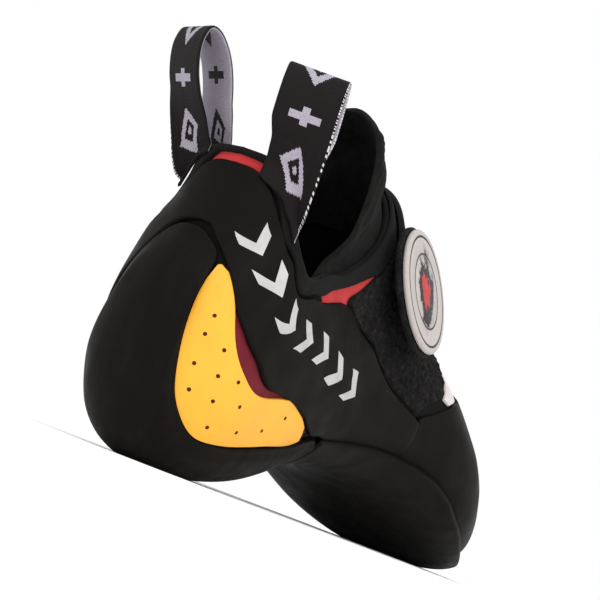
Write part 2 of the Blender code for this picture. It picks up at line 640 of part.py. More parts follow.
clear_scene()
PARTS = new_collection("climbing_shoe")
SECTIONS = section_table()
upper()
board_and_insole()
outsole()
heel_cup()
sling_band()
heel_panel("heel_panel_lateral", PANEL_LATERAL)
heel_panel("heel_panel_medial", PANEL_MEDIAL)
toe_rand()
vamp_panel()
closure_pad()
collar_binding()
tongue()
round_tab(closure_strap())
for loop in LOOPS:
    pull_loop(*loop)
stand_at_origin()
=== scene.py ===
"""Looks of a right climbing shoe: finer layers on the form of its CAD frame, and their finishes.

The shoe points along +X, its inner side is +Y and up is +Z. Lengths are in metres. Every layer is a sheet
between two offsets of one form, as in the part's source, but finer, rounded at its edges and finished.
"""

import math

import bpy
import numpy as np
from mathutils import Matrix, Vector


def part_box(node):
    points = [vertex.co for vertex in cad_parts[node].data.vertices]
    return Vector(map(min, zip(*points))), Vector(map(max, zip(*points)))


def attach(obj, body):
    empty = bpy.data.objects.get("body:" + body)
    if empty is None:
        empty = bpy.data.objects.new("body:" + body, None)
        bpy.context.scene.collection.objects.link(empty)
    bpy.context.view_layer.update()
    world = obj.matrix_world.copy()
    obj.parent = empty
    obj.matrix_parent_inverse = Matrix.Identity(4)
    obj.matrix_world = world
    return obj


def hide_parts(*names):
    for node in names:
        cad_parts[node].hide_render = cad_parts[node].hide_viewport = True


# The photo's camera: how far it stands round from straight behind, its roll, its distance and its target. The
# photo was taken from lower down. This camera stops at the floor, and its roll makes up for part of that.
CAMERA_TURN = 28.2
CAMERA_ROLL = 21.0
CAMERA_DISTANCE = 0.70
CAMERA_HEIGHT = 0.004
CAMERA_TARGET = (0.0016, 0.0, 0.0640)
# The render's pixels for a metre at the target, its width in pixels, the target's place in it, and the
# camera's sensor width in millimetres
PIXELS_PER_METRE = 2850.0
PICTURE_WIDTH = 600
TARGET_PIXEL = (345, 343)
SENSOR_WIDTH = 36

# The part's driving dimensions
LENGTH = 0.236
BALL_WIDTH = 0.085
HEEL_WIDTH = 0.057
INSTEP_HEIGHT = 0.100
RIM_HEIGHT = 0.101

UPPER_WALL = 0.0020
LAYER_GAP = 0.00035
RAND_THICKNESS = 0.0018
HEEL_RUBBER = 0.0030
SOLE_THICKNESS = 0.0034
WING_THICKNESS = 0.0009
PANEL_THICKNESS = 0.0011
BOARD_THICKNESS = 0.0018
INSOLE_THICKNESS = 0.0012
TONGUE_THICKNESS = 0.0022
TONGUE_FLARE = 0.0040
BINDING_THICKNESS = 0.0014
PAD_THICKNESS = 0.0014
VAMP_THICKNESS = 0.0010

STRAP_THICKNESS = 0.0020
STRAP_WIDTH = 0.030
TAB_DIAMETER = 0.044
TAB_BACKING = 0.0020
TAB_FACE = 0.0018
TAB_FACE_MARGIN = 0.0010

LOOP_WIDTH = 0.0200
LOOP_THICKNESS = 0.0011
LOOP_HEIGHT = 0.0400
LOOP_HALF_DEPTH = 0.0064
LOOP_OUTER_LEG = 0.0080
LOOP_INNER_LEG = 0.010

# Sections of the upper's outer face, from the toe tip to the collar. Each one stands on a sole point and
# leans to a top point; sole_x and top_x are shares of LENGTH, sole_z and top_z of the section's height,
# lateral, medial and centre of its width. widest is how far up the section its widest point is, and the
# powers say how square its lower and upper halves are.
# name, sole_x, sole_z, top_x, top_z, lateral, medial, centre, widest, lower_power, upper_power
FORE_SECTIONS = (
    ("tip", 1.000, 0.130, 1.000, 0.130, 0.000, 0.000, 0.105, 0.50, 2.0, 2.0),
    ("nose", 0.992, 0.085, 0.988, 0.185, 0.150, 0.140, 0.105, 0.45, 2.2, 2.0),
    ("toe_ends", 0.958, 0.055, 0.950, 0.270, 0.285, 0.215, 0.092, 0.40, 2.6, 2.0),
    ("toes", 0.893, 0.054, 0.876, 0.342, 0.405, 0.295, 0.070, 0.36, 3.0, 2.0),
    ("knuckles", 0.808, 0.092, 0.783, 0.465, 0.486, 0.428, 0.035, 0.34, 3.0, 2.1),
    ("ball", 0.713, 0.163, 0.682, 0.600, 0.514, 0.512, 0.000, 0.32, 3.0, 2.2),
    ("waist", 0.622, 0.222, 0.588, 0.740, 0.482, 0.478, 0.000, 0.32, 2.8, 2.2),
    ("instep", 0.521, 0.242, 0.504, 0.862, 0.412, 0.400, 0.000, 0.34, 2.6, 2.0),
)
REAR_SECTIONS = (
    ("arch", 0.419, 0.216, 0.436, 0.988, 0.552, 0.518, 0.000, 0.36, 2.6, 2.0),
    ("heel_front", 0.313, 0.152, 0.390, 1.122, 0.518, 0.500, 0.000, 0.38, 2.6, 2.0),
    ("heel_seat", 0.216, 0.053, 0.364, 1.200, 0.509, 0.505, 0.000, 0.36, 2.6, 2.0),
    ("heel_base", 0.125, 0.020, 0.343, 1.245, 0.502, 0.502, 0.000, 0.36, 2.6, 2.0),
    ("heel_corner", 0.057, 0.056, 0.326, 1.275, 0.500, 0.500, 0.000, 0.34, 2.6, 2.0),
    ("heel_low", 0.021, 0.174, 0.313, 1.296, 0.496, 0.496, 0.000, 0.34, 2.5, 2.0),
    ("heel_bulge", 0.013, 0.332, 0.302, 1.310, 0.486, 0.486, 0.000, 0.36, 2.4, 2.0),
    ("heel_high", 0.021, 0.510, 0.292, 1.318, 0.458, 0.458, 0.000, 0.40, 2.3, 2.0),
    ("achilles", 0.041, 0.705, 0.283, 1.322, 0.405, 0.405, 0.000, 0.44, 2.2, 2.0),
    ("rim", 0.055, 1.000, 0.271, 1.322, 0.380, 0.380, 0.000, 0.50, 2.2, 2.0),
)
LAST_STATION = len(FORE_SECTIONS) + len(REAR_SECTIONS) - 1

# Edges on the form. A station is a section's number, counted from the toe tip, and an angle runs round the
# section in degrees: 0 under the sole and behind the heel, 90 at the side, 180 on the instep.
# angle, station of the collar's edge, stations that the binding reaches below it
COLLAR = (
    (0, 17.00, 0.12), (20, 16.92, 0.12), (42, 16.68, 0.16), (58, 16.25, 0.38), (69, 15.60, 0.56),
    (78, 15.00, 0.82), (87, 14.40, 1.02), (95, 13.70, 0.96), (103, 13.02, 0.78), (107, 12.68, 0.66),
    (112, 11.90, 0.82), (117, 11.25, 0.86), (122, 10.75, 1.00), (134, 10.05, 0.80), (152, 9.60, 0.62),
    (180, 9.40, 0.48),
)
# angle, station of the tongue's root, station of its free edge
TONGUE = (
    (98, 11.4, 12.70), (106, 10.8, 12.80), (116, 10.1, 12.72), (127, 9.4, 12.85),
    (142, 8.8, 13.35), (155, 8.4, 14.35), (167, 8.2, 15.35), (180, 8.1, 15.85),
)
# How many stations above the collar the tongue starts to flare, and over how many it goes on
TONGUE_FLARE_START, TONGUE_FLARE_LENGTH = 0.3, 1.6
# station, lateral edge angle, medial edge angle of the outsole with its lateral wing
OUTSOLE = (
    (0.80, -58, 58), (1.2, -66, 66), (2.0, -70, 71), (3.0, -67, 68), (4.0, -65, 66), (5.0, -66, 60),
    (5.35, -68, 51), (5.6, -70, 39), (5.85, -70, 27), (6.15, -70, 17), (6.5, -68, 11.5), (7.0, -64, 9.5),
    (7.5, -61, 8.5), (8.1, -57, 6), (8.6, -55, 4), (9.0, -55, 3),
)
# The station where the outsole starts to thin out into its wing
WING_START = 6.2
# station and angle of the heel rubber's front edge under the arch, and of its free edge from the lateral to
# the medial front corner
HEEL_CUP_FRONT = ((9.02, -52), (9.02, 46))
HEEL_CUP_EDGE = (
    (9.12, -55), (9.62, -57.5), (10.5, -55.5), (11.6, -45), (12.25, -34), (13.0, -25.5), (13.6, -21),
    (14.35, -17.5), (15.0, -16), (15.68, -17.5), (16.0, -4), (16.06, 8), (15.95, 22), (15.6, 34),
    (15.0, 42), (14.2, 48), (13.2, 51), (12.0, 52), (10.8, 51.5), (9.62, 51), (9.12, 49),
)
# The station where the toe rand ends at the sides, against the sling band's front edge
BAND_FRONT = 7.0
RAND_REAR = BAND_FRONT - 0.02
# station and angle of the sling band's lower and upper edges, lateral side, from behind the heel forwards
SLING_LATERAL_LOWER = (
    (16.14, 0), (16.10, -5), (15.76, -20), (15.30, -32.5), (14.64, -44.5), (13.85, -59), (12.9, -73),
    (11.75, -79), (10.95, -79.5), (10.25, -76), (9.76, -68), (9.46, -61.5), (9.1, -57.5), (8.6, -50),
    (7.9, -47.5), (BAND_FRONT, -47.5),
)
SLING_LATERAL_UPPER = (
    (16.76, 0), (16.70, -18), (16.40, -38), (15.82, -57), (14.96, -69), (14.10, -78), (13.30, -87),
    (12.66, -95), (12.14, -101.5), (11.6, -105.2), (11.0, -106.8), (10.3, -105.4), (9.3, -99.8),
    (8.65, -95.2), (7.9, -92.0), (BAND_FRONT, -91.5),
)
SLING_MEDIAL_LOWER = (
    (16.14, 0), (16.14, 8), (16.02, 23), (15.66, 36), (15.05, 44.5), (14.2, 54), (13.1, 68),
    (11.75, 78), (10.95, 79.5), (10.25, 76), (9.76, 68), (9.46, 59), (9.1, 52.5), (8.6, 47.5),
    (7.9, 46), (BAND_FRONT, 46),
)
SLING_MEDIAL_UPPER = (
    (16.76, 0), (16.70, 18), (16.40, 38), (15.82, 57), (14.96, 69), (14.10, 78), (13.30, 87),
    (12.66, 95), (12.08, 101), (11.5, 107), (10.7, 110.5), (9.9, 112), (9.1, 110), (8.4, 106),
    (7.7, 102), (BAND_FRONT, 99),
)
# station and angle of the heel panels' lower and upper edges, from the top corner forwards
PANEL_LATERAL = (
    ((15.56, -21.0), (15.0, -18.2), (14.35, -19.3), (13.6, -22.9), (13.0, -27.4), (12.25, -35.8),
     (11.6, -46.8), (10.6, -57.2), (9.86, -59.4), (9.66, -60.2)),
    ((15.56, -22.2), (15.1, -32.4), (14.55, -43.0), (13.85, -52.5), (12.85, -65.5), (11.75, -74.5),
     (10.95, -77.2), (10.3, -73.4), (9.9, -67.0), (9.72, -62.6)),
)
PANEL_MEDIAL = (
    ((14.5, 47.8), (14.2, 50.4), (13.7, 53.0), (13.2, 54.2), (12.6, 54.8), (12.0, 54.8),
     (11.4, 54.4), (10.8, 53.6), (10.2, 53.4), (9.66, 53.2)),
    ((14.5, 49.0), (14.2, 53.0), (13.7, 58.8), (13.2, 64.6), (12.6, 70.4), (12.0, 74.8),
     (11.4, 76.8), (10.8, 77.0), (10.2, 73.6), (9.66, 60.0)),
)
# angle, station of the toe rand's rear edge, from the sole's medial edge over the toes to its lateral edge
TOE_RAND = (
    (0, RAND_REAR), (100, RAND_REAR), (110, 6.30), (125, 5.75), (150, 5.30), (180, 5.15), (210, 5.35),
    (235, 5.80), (248, 6.22), (258, 6.60), (266, RAND_REAR), (360, RAND_REAR),
)
# The rand is whole up to this station, and behind it opens as far round as this, beside the board
TOE_RAND_CLOSED = 1.0
TOE_RAND_ANGLE = 47
BOARD_ANGLE = 44
# How far round the opening under the foot reaches in the upper, and its first and last stations
UPPER_OPENING_ANGLE = 32
UPPER_OPENING = (1.9, 8.2)
# The insole's first and last stations, and how far round it reaches
INSOLE = (1.0, 12.4)
INSOLE_ANGLE = 40
# angle, front and rear station of the pale vamp panel
VAMP = (
    (-113, 6.26, 6.40), (-125, 5.88, 6.24), (-142, 5.58, 6.22), (-156, 5.38, 6.46), (-168, 5.30, 6.95),
    (-180, 5.25, 7.40), (-195, 5.30, 7.75), (-212, 5.44, 7.85), (-226, 5.68, 7.82), (-240, 6.06, 7.75),
)
# angle, front and rear station of the closure pad, from its lower to its upper edge
CLOSURE_PAD = (
    (-93.4, 7.14, 8.08), (-96.2, 7.02, 8.66), (-100.8, 6.88, 9.30), (-104.6, 6.75, 9.98),
    (-108, 6.60, 10.88), (-113, 6.42, 10.50), (-119, 6.36, 10.02), (-124, 6.33, 9.60),
    (-132, 6.32, 9.22), (-145, 6.32, 8.95), (-154, 6.55, 8.80), (-159, 6.80, 8.66),
)
# angle, station of the strap's centre line, from the medial anchor over the instep to the lateral side
STRAP = (
    (96, 7.90), (110, 8.00), (125, 8.10), (140, 8.18), (155, 8.25), (170, 8.30), (185, 8.35),
    (200, 8.40), (215, 8.42), (228, 8.42), (241, 8.40),
)
# The way the round tab faces
TAB_FACING = (0.093, -0.911, 0.404)

# name, angle on the rim, height above it as a share of LOOP_HEIGHT, lean forwards and outwards as shares of
# the height, and how far the bow is turned about the vertical, in degrees
LOOPS = (
    ("pull_loop_lateral", -44, 0.900, -0.16, -0.06, -20),
    ("pull_loop_medial", 44, 0.940, -0.02, 0.46, 14),
)
# Shares of LOOP_HALF_DEPTH outwards and of the height up, round the loop from its outer to its inner foot
LOOP_PROFILE = (
    (0.16, 0.05), (0.42, 0.22), (0.86, 0.44), (1.00, 0.62), (0.86, 0.82), (0.42, 0.96), (0.00, 1.00),
    (-0.46, 0.96), (-0.86, 0.82), (-1.00, 0.62), (-0.86, 0.42), (-0.56, 0.22), (-0.36, 0.05),
)


def section_table():
    """The sections as one row each, their shares turned into metres."""
    rows = []
    for sections, height, width in (
        (FORE_SECTIONS, INSTEP_HEIGHT, BALL_WIDTH),
        (REAR_SECTIONS, RIM_HEIGHT, HEEL_WIDTH),
    ):
        size = np.array([LENGTH, height, LENGTH, height, width, width, width, 1.0, 1.0, 1.0])
        rows.extend(np.array(section[1:]) * size for section in sections)
    return np.array(rows)


def smooth(values, position):
    """A Catmull-Rom curve through the rows of values, at fractional row numbers."""
    last = len(values) - 1
    position = np.clip(np.asarray(position, float), 0, last)
    start = np.minimum(np.floor(position).astype(int), last - 1)
    t = (position - start)[..., None]
    p0, p1, p2, p3 = (values[np.clip(start + k, 0, last)] for k in (-1, 0, 1, 2))
    slope, bend, twist = p2 - p0, 2 * p0 - 5 * p1 + 4 * p2 - p3, 3 * p1 - p0 - 3 * p2 + p3
    return 0.5 * (2 * p1 + slope * t + bend * t**2 + twist * t**3)


def column(rows, key, at):
    """A table's columns, read at values of its first one."""
    rows = np.array(rows, float)
    order = np.argsort(rows[:, 0])
    return np.interp(at, rows[order, 0], rows[order, key])


def form(station, angle):
    """Points on the upper's outer face, for a station and an angle in degrees."""
    row = smooth(SECTIONS, station)
    sole_x, sole_z, top_x, top_z, lateral, medial, centre, widest, lower, upper = np.moveaxis(row, -1, 0)
    turn = np.radians(angle)
    up, side = np.cos(turn), np.sin(turn)
    power = np.where(up >= 0, lower, upper)
    rise = np.abs(up) ** (2 / power)
    spread = np.sign(side) * np.abs(side) ** (2 / power)
    share = np.where(up >= 0, widest * (1 - rise), widest + (1 - widest) * rise)
    half = np.where(side >= 0, medial, lateral)
    return np.stack(
        [sole_x + (top_x - sole_x) * share, centre + half * spread, sole_z + (top_z - sole_z) * share], -1
    )


def form_normal(station, angle):
    """Outward unit normals of the form."""
    station_step, angle_step = 0.03, 1.5
    inside = np.clip(station, 0.12, LAST_STATION)
    ahead, behind = np.minimum(inside + station_step, LAST_STATION), inside - station_step
    by_station = form(ahead, angle) - form(behind, angle)
    by_angle = form(inside, angle + angle_step) - form(inside, angle - angle_step)
    normal = np.cross(by_station, by_angle)
    normal /= np.linalg.norm(normal, axis=-1, keepdims=True)
    return np.where(np.asarray(station)[..., None] == 0, (1.0, 0.0, 0.0), normal)


def offset_form(station, angle, distance):
    """The form moved out by a distance, and never below the floor."""
    station, angle = np.broadcast_arrays(np.asarray(station, float), np.asarray(angle, float))
    points = form(station, angle) + form_normal(station, angle) * np.asarray(distance)[..., None]
    points[..., 2] = np.maximum(points[..., 2], 0.0)
    return points


def from_heel(angle):
    """An angle's distance from 0, either way round, for tables that are the same on both sides."""
    return np.abs((np.asarray(angle) + 180) % 360 - 180)


def dense(rows, count=600):
    """A table's rows as points spread over a smooth curve through them."""
    rows = np.array(rows, float)
    return smooth(rows, np.linspace(0, len(rows) - 1, count))


def smooth_column(rows, key, at):
    """A table's columns, read smoothly at values of its first one."""
    rows = np.array(rows, float)
    points = dense(rows[np.argsort(rows[:, 0])])
    ahead = np.maximum.accumulate(points[:, 0])
    return np.interp(at, ahead, points[:, key])


def shares(count, border=0.03, near=5):
    """Numbers from 0 to 1, closer together near both ends, where an edge is rounded."""
    ends = border * np.linspace(0, 1, near, endpoint=False) ** 1.5
    return np.concatenate([ends, np.linspace(border, 1 - border, count), 1 - ends[::-1]])


def arc(points, axis):
    """Distances along a grid's rows or columns."""
    steps = np.linalg.norm(np.diff(points, axis=axis), axis=-1)
    pad = [(0, 0), (0, 0)]
    pad[axis] = (1, 0)
    return np.pad(np.cumsum(steps, axis=axis), pad)


def rounded(base, radius, sides):
    """How full a layer is at each grid point: 1 inside, and a quarter circle's fall at the named sides."""
    full = np.ones(base.shape[:2])
    for side in sides:
        axis = 0 if side in ("first_row", "last_row") else 1
        run = arc(base, axis)
        if side in ("last_row", "last_column"):
            run = (run[-1:, :] if axis == 0 else run[:, -1:]) - run
        near = np.clip(run / radius, 0, 1)
        full = np.minimum(full, np.sqrt(np.maximum(1 - (1 - near) ** 2, 0)))
    return full


ALL_SIDES = ("first_row", "last_row", "first_column", "last_column")
# A layer's thickness at its rounded rim, as a share of its own
RIM_FULLNESS = 0.12


def grid_piece(
    name, outer, inner, finishes, ring=False, tip=False, keep=None, cell_finish=None, rim_finish=0
):
    """A closed mesh between two grids of points, with its first finish outside and its second inside.

    Its UV map has the distances across and along it in metres. cell_finish gives each cell's finish, outside
    and inside.
    """
    rows, columns = outer.shape[:2]
    index = np.arange(rows * columns).reshape(rows, columns)
    if tip:
        index[0] = index[0, 0]
    size = rows * columns
    across, along_ = arc(outer, 1), arc(outer, 0)
    uv_of = np.stack([across, along_], -1).reshape(-1, 2)
    faces, finish, uvs, rim = [], [], [], {}
    for i in range(rows - 1):
        for j in range(columns if ring else columns - 1):
            if keep is not None and not keep[i, j]:
                continue
            after = (j + 1) % columns
            cells = [(i, j), (i + 1, j), (i + 1, after), (i, after)]
            if tip and i == 0:
                cells = [(0, j), (1, j), (1, after)]
            corner = [int(index[a, b]) for a, b in cells]
            spot = [uv_of[a * columns + b] for a, b in cells]
            if ring and after == 0:
                far = uv_of[i * columns + columns - 1][0] * (1 + 1 / columns)
                spot = [(far, s[1]) if b == 0 else s for s, (_, b) in zip(spot, cells)]
            faces.append(corner)
            finish.append(0 if cell_finish is None else int(cell_finish[0][i, j]))
            uvs.extend(spot)
            faces.append([c + size for c in reversed(corner)])
            finish.append(1 if cell_finish is None else int(cell_finish[1][i, j]))
            uvs.extend(reversed(spot))
            for k in range(len(corner)):
                edge = (corner[k], corner[(k + 1) % len(corner)])
                if edge[::-1] in rim:
                    del rim[edge[::-1]]
                else:
                    rim[edge] = (spot[k], spot[(k + 1) % len(corner)])
    for (a, b), (spot_a, spot_b) in rim.items():
        faces.append([b, a, a + size, b + size])
        finish.append(rim_finish)
        uvs.extend((spot_b, spot_a, spot_a, spot_b))
    points = np.concatenate([outer.reshape(-1, 3), inner.reshape(-1, 3)])
    used = np.unique(np.concatenate([np.array(f) for f in faces]))
    renumber = np.full(len(points), -1)
    renumber[used] = np.arange(len(used))
    mesh = bpy.data.meshes.new(name)
    mesh.from_pydata(points[used].tolist(), [], [[int(renumber[c]) for c in f] for f in faces])
    layer_uv = mesh.uv_layers.new(name="metres")
    layer_uv.data.foreach_set("uv", np.array(uvs, float).ravel())
    for made in finishes:
        mesh.materials.append(made)
    mesh.polygons.foreach_set("material_index", np.minimum(finish, len(finishes) - 1))
    mesh.update()
    mesh.shade_smooth()
    return add(name, mesh)


def add(name, mesh):
    obj = bpy.data.objects.new(name, mesh)
    bpy.context.scene.collection.objects.link(obj)
    return obj


def placed(grid):
    """The form's points moved to where the CAD frame holds them."""
    return grid + SHIFT


def soft_layer(
    name, station, angle, low, thickness, finishes, radius=0.0006, sides=ALL_SIDES, relief=None, **kind
):
    """A layer on the form with rounded edges; relief raises or lowers its outer face, in metres."""
    station, angle = np.broadcast_arrays(np.asarray(station, float), np.asarray(angle, float))
    base = offset_form(station, angle, np.broadcast_to(low, station.shape))
    full = rounded(base, radius, sides)
    height = np.asarray(thickness) * (RIM_FULLNESS + (1 - RIM_FULLNESS) * full)
    if relief is not None:
        height = height + relief * full
    outer = offset_form(station, angle, low + height)
    return grid_piece(name, placed(outer), placed(base), finishes, **kind)


def widened(first, second, first_by, second_by):
    """Two edge curves moved apart on the form, each by a distance in metres, or by one for each point."""
    first_by, second_by = (np.broadcast_to(by, len(first))[:, None] for by in (first_by, second_by))
    a, b = form(first[:, 0], first[:, 1]), form(second[:, 0], second[:, 1])
    width = np.maximum(np.linalg.norm(a - b, axis=-1, keepdims=True), 0.004)
    step = second - first
    return first - step * first_by / width, second + step * second_by / width


def between(first, second, t):
    """A grid from one curve of (station, angle) points to another, at the shares t."""
    t = np.asarray(t)[None, :, None]
    grid = first[:, None] * (1 - t) + second[:, None] * t
    return grid[..., 0], grid[..., 1]


def spread(first, last, t):
    """A grid from a first value to a last one in each row."""
    return first[:, None] * (1 - t) + last[:, None] * t


def strip(rows, lengthwise, crosswise):
    """A grid over a table of an angle with its first and last station, at shares of either way."""
    angle = rows[0][0] + (rows[-1][0] - rows[0][0]) * lengthwise
    station = spread(smooth_column(rows, 1, angle), smooth_column(rows, 2, angle), crosswise)
    return station, np.broadcast_to(angle[:, None], station.shape)


def resampled(rows, t):
    """Points of a smooth curve through the rows, at shares t of its number of rows."""
    rows = np.array(rows, float)
    return smooth(rows, np.asarray(t) * (len(rows) - 1))


def between_rows(rows, at):
    """An array's rows read in straight lines at fractional row numbers."""
    low = np.minimum(np.floor(at).astype(int), len(rows) - 2)
    t = (at - low).reshape(-1, *(1,) * (rows.ndim - 1))
    return rows[low] * (1 - t) + rows[low + 1] * t


def wander(points, scale, seed):
    """Smooth noise between about -1 and 1, from a few fixed waves."""
    rng = np.random.default_rng(seed)
    total = np.zeros(points.shape[:-1])
    for _ in range(9):
        direction = rng.normal(size=3)
        direction /= np.linalg.norm(direction)
        wave = 2 * math.pi / scale * rng.uniform(0.5, 1.6)
        total += np.sin(points @ direction * wave + rng.uniform(0, 6.28))
    return total / 3.0


# Creases: where each starts and ends as (station, angle), its depth, which is less than 0 for
# a ridge, and its half width
CREASES = (
    ((13.3, -79), (12.0, -82), 0.00035, 0.0040),
    ((11.2, -98), (10.0, -84), 0.00030, 0.0045),
    ((9.4, -94), (8.2, -66), 0.00040, 0.0050),
    ((8.0, -88), (7.3, -70), -0.00025, 0.0040),
    ((6.6, -98), (6.1, -74), 0.00035, 0.0040),
    ((5.5, -116), (5.1, -88), 0.00035, 0.0045),
    ((4.7, -168), (4.6, -140), 0.00030, 0.0050),
    ((4.2, 172), (4.3, 145), 0.00030, 0.0050),
    ((9.4, 92), (8.3, 66), 0.00040, 0.0050),
    ((5.9, 102), (5.3, 78), 0.00035, 0.0045),
    ((14.9, -6), (13.0, -10), -0.00020, 0.0045),
    ((13.4, 20), (12.2, 30), 0.00025, 0.0060),
    ((12.6, -20), (11.4, -38), 0.00025, 0.0055),
    ((13.9, -93), (13.3, -93), 0.00040, 0.0022),
    ((12.5, -107), (12.1, -103), 0.00040, 0.0022),
    ((11.3, -116), (10.8, -112), 0.00035, 0.0022),
    ((13.6, 96), (13.1, 93), 0.00040, 0.0024),
    ((11.6, 114), (11.0, 110), 0.00035, 0.0024),
)


def creases(points):
    """How far the creases raise or lower a face at points of the form."""
    total = np.zeros(points.shape[:-1])
    for start, end, depth, width in CREASES:
        a, b = form(*start), form(*end)
        line = b - a
        share = np.clip((points - a) @ line / (line @ line), 0, 1)
        off = np.linalg.norm(points - a - share[..., None] * line, axis=-1)
        total -= depth * np.exp(-((off / width) ** 2)) * np.sin(math.pi * (0.12 + 0.76 * share))
    return total


# Finishes


def principled(name, colour, roughness, specular=0.5, **sockets):
    made = bpy.data.materials.new(name)
    made.use_nodes = True
    shader = made.node_tree.nodes["Principled BSDF"]
    shader.inputs["Base Color"].default_value = (*colour, 1.0)
    shader.inputs["Roughness"].default_value = roughness
    shader.inputs["Specular IOR Level"].default_value = specular
    for key, value in sockets.items():
        shader.inputs[key.replace("_", " ")].default_value = value
    return made


def node(made, kind, **settings):
    new = made.node_tree.nodes.new(kind)
    for key, value in settings.items():
        if key in new.inputs:
            new.inputs[key].default_value = value
        else:
            setattr(new, key, value)
    return new


def join(made, a, b):
    made.node_tree.links.new(a, b)


def coordinates(made, uv=False, stretch=(1, 1, 1)):
    source = node(made, "ShaderNodeTexCoord")
    mapping = node(made, "ShaderNodeMapping")
    mapping.inputs["Scale"].default_value = stretch
    join(made, source.outputs["UV" if uv else "Object"], mapping.inputs["Vector"])
    return mapping.outputs["Vector"]


def noise(made, size, detail=4.0, roughness=0.55, uv=False, stretch=(1, 1, 1)):
    texture = node(made, "ShaderNodeTexNoise", Scale=1.0 / size, Detail=detail, Roughness=roughness)
    join(made, coordinates(made, uv, stretch), texture.inputs["Vector"])
    return texture.outputs["Fac"]


def cells(made, size, uv=False, stretch=(1, 1, 1), randomness=1.0):
    texture = node(made, "ShaderNodeTexVoronoi", Scale=1.0 / size, Randomness=randomness)
    join(made, coordinates(made, uv, stretch), texture.inputs["Vector"])
    return texture.outputs["Distance"]


# How far apart the bands of a wave texture are at a scale of 1
WAVE_PITCH = 0.314


def ribs(made, pitch, direction, uv=True, distortion=0.0):
    texture = node(made, "ShaderNodeTexWave", Scale=WAVE_PITCH / pitch, Distortion=distortion)
    texture.bands_direction = direction
    join(made, coordinates(made, uv), texture.inputs["Vector"])
    return texture.outputs["Fac"]


def ramp(made, value, *stops):
    """A value turned into colours at the named positions."""
    new = node(made, "ShaderNodeValToRGB")
    new.color_ramp.elements[0].position, new.color_ramp.elements[0].color = stops[0][0], (*stops[0][1], 1)
    new.color_ramp.elements[1].position, new.color_ramp.elements[1].color = stops[-1][0], (*stops[-1][1], 1)
    for position, colour in stops[1:-1]:
        element = new.color_ramp.elements.new(position)
        element.color = (*colour, 1)
    join(made, value, new.inputs["Fac"])
    return new.outputs["Color"]


def colour_by(made, value, *stops):
    shader = made.node_tree.nodes["Principled BSDF"]
    join(made, ramp(made, value, *stops), shader.inputs["Base Color"])


def roughness_by(made, value, low, high):
    spread_of = node(made, "ShaderNodeMapRange")
    spread_of.inputs["From Min"].default_value = 0.3
    spread_of.inputs["From Max"].default_value = 0.7
    spread_of.inputs["To Min"].default_value = low
    spread_of.inputs["To Max"].default_value = high
    join(made, value, spread_of.inputs["Value"])
    join(made, spread_of.outputs["Result"], made.node_tree.nodes["Principled BSDF"].inputs["Roughness"])


def bumps(made, *layers):
    """Bump layers of (height, depth in metres, strength), one on another."""
    before = None
    for height, depth, strength in layers:
        new = node(made, "ShaderNodeBump", Distance=depth, Strength=strength)
        join(made, height, new.inputs["Height"])
        if before is not None:
            join(made, before, new.inputs["Normal"])
        before = new.outputs["Normal"]
    join(made, before, made.node_tree.nodes["Principled BSDF"].inputs["Normal"])


def shade(colour, by):
    return tuple(c * by for c in colour)


RUBBER = (0.0062, 0.0052, 0.0044)
YELLOW = (0.86, 0.41, 0.030)
RED = (0.50, 0.034, 0.036)
RED_PAINTED_SHADE = (0.155, 0.014, 0.024)
# The red microfibre painted darker, as shade where it lies between the heel panels and the band
BLACK = (0.0048, 0.0047, 0.0044)
PALE = (0.56, 0.52, 0.51)
MOTIF = (0.36, 0.33, 0.39)
BADGE = (0.43, 0.39, 0.37)


def rubber(name, streaks):
    made = principled(name, RUBBER, 0.55, specular=0.05)
    dust = noise(made, 0.014, detail=6, stretch=streaks)
    tones = ((0.42, shade(RUBBER, 0.90)), (0.60, shade(RUBBER, 1.05)), (0.78, shade(RUBBER, 1.60)))
    colour_by(made, dust, *tones)
    roughness_by(made, noise(made, 0.010, detail=5, stretch=streaks), 0.42, 0.62)
    bumps(
        made,
        (noise(made, 0.020, detail=2), 0.0010, 0.20),
        (noise(made, 0.0016, detail=3, stretch=streaks), 0.00012, 0.35),
        (noise(made, 0.0004, detail=2), 0.00004, 0.30),
    )
    return made


def yellow_rubber():
    made = principled("yellow_satin", YELLOW, 0.5, specular=0.35)
    soil = noise(made, 0.016, detail=5)
    colour_by(made, soil, (0.30, shade(YELLOW, 0.93)), (0.55, YELLOW), (0.75, (0.80, 0.36, 0.030)))
    roughness_by(made, noise(made, 0.008, detail=4), 0.40, 0.58)
    bumps(made, (noise(made, 0.012, detail=2), 0.0006, 0.15), (noise(made, 0.0005, detail=3), 0.00004, 0.35))
    return made


def microfibre(name, colour, sheen):
    made = principled(name, colour, 0.85, specular=0.12, Sheen_Weight=sheen, Sheen_Roughness=0.5)
    tone = noise(made, 0.010, detail=6)
    colour_by(made, tone, (0.30, shade(colour, 0.78)), (0.55, colour), (0.80, shade(colour, 1.15)))
    bumps(
        made,
        (noise(made, 0.006, detail=3), 0.0005, 0.20),
        (noise(made, 0.0006, detail=4), 0.00012, 0.55),
        (cells(made, 0.0005), 0.00006, 0.35),
    )
    return made


def knit():
    sheen = {"Sheen_Weight": 0.015, "Sheen_Roughness": 0.6}
    made = principled("black_stretch_knit", BLACK, 0.9, specular=0.08, **sheen)
    colour_by(made, noise(made, 0.004, detail=5), (0.3, shade(BLACK, 0.7)), (0.7, shade(BLACK, 1.9)))
    bumps(
        made,
        (ribs(made, 0.0009, "X"), 0.00016, 0.45),
        (ribs(made, 0.0007, "Y", distortion=1.0), 0.00012, 0.35),
        (noise(made, 0.0012, detail=4), 0.0002, 0.4),
    )
    return made


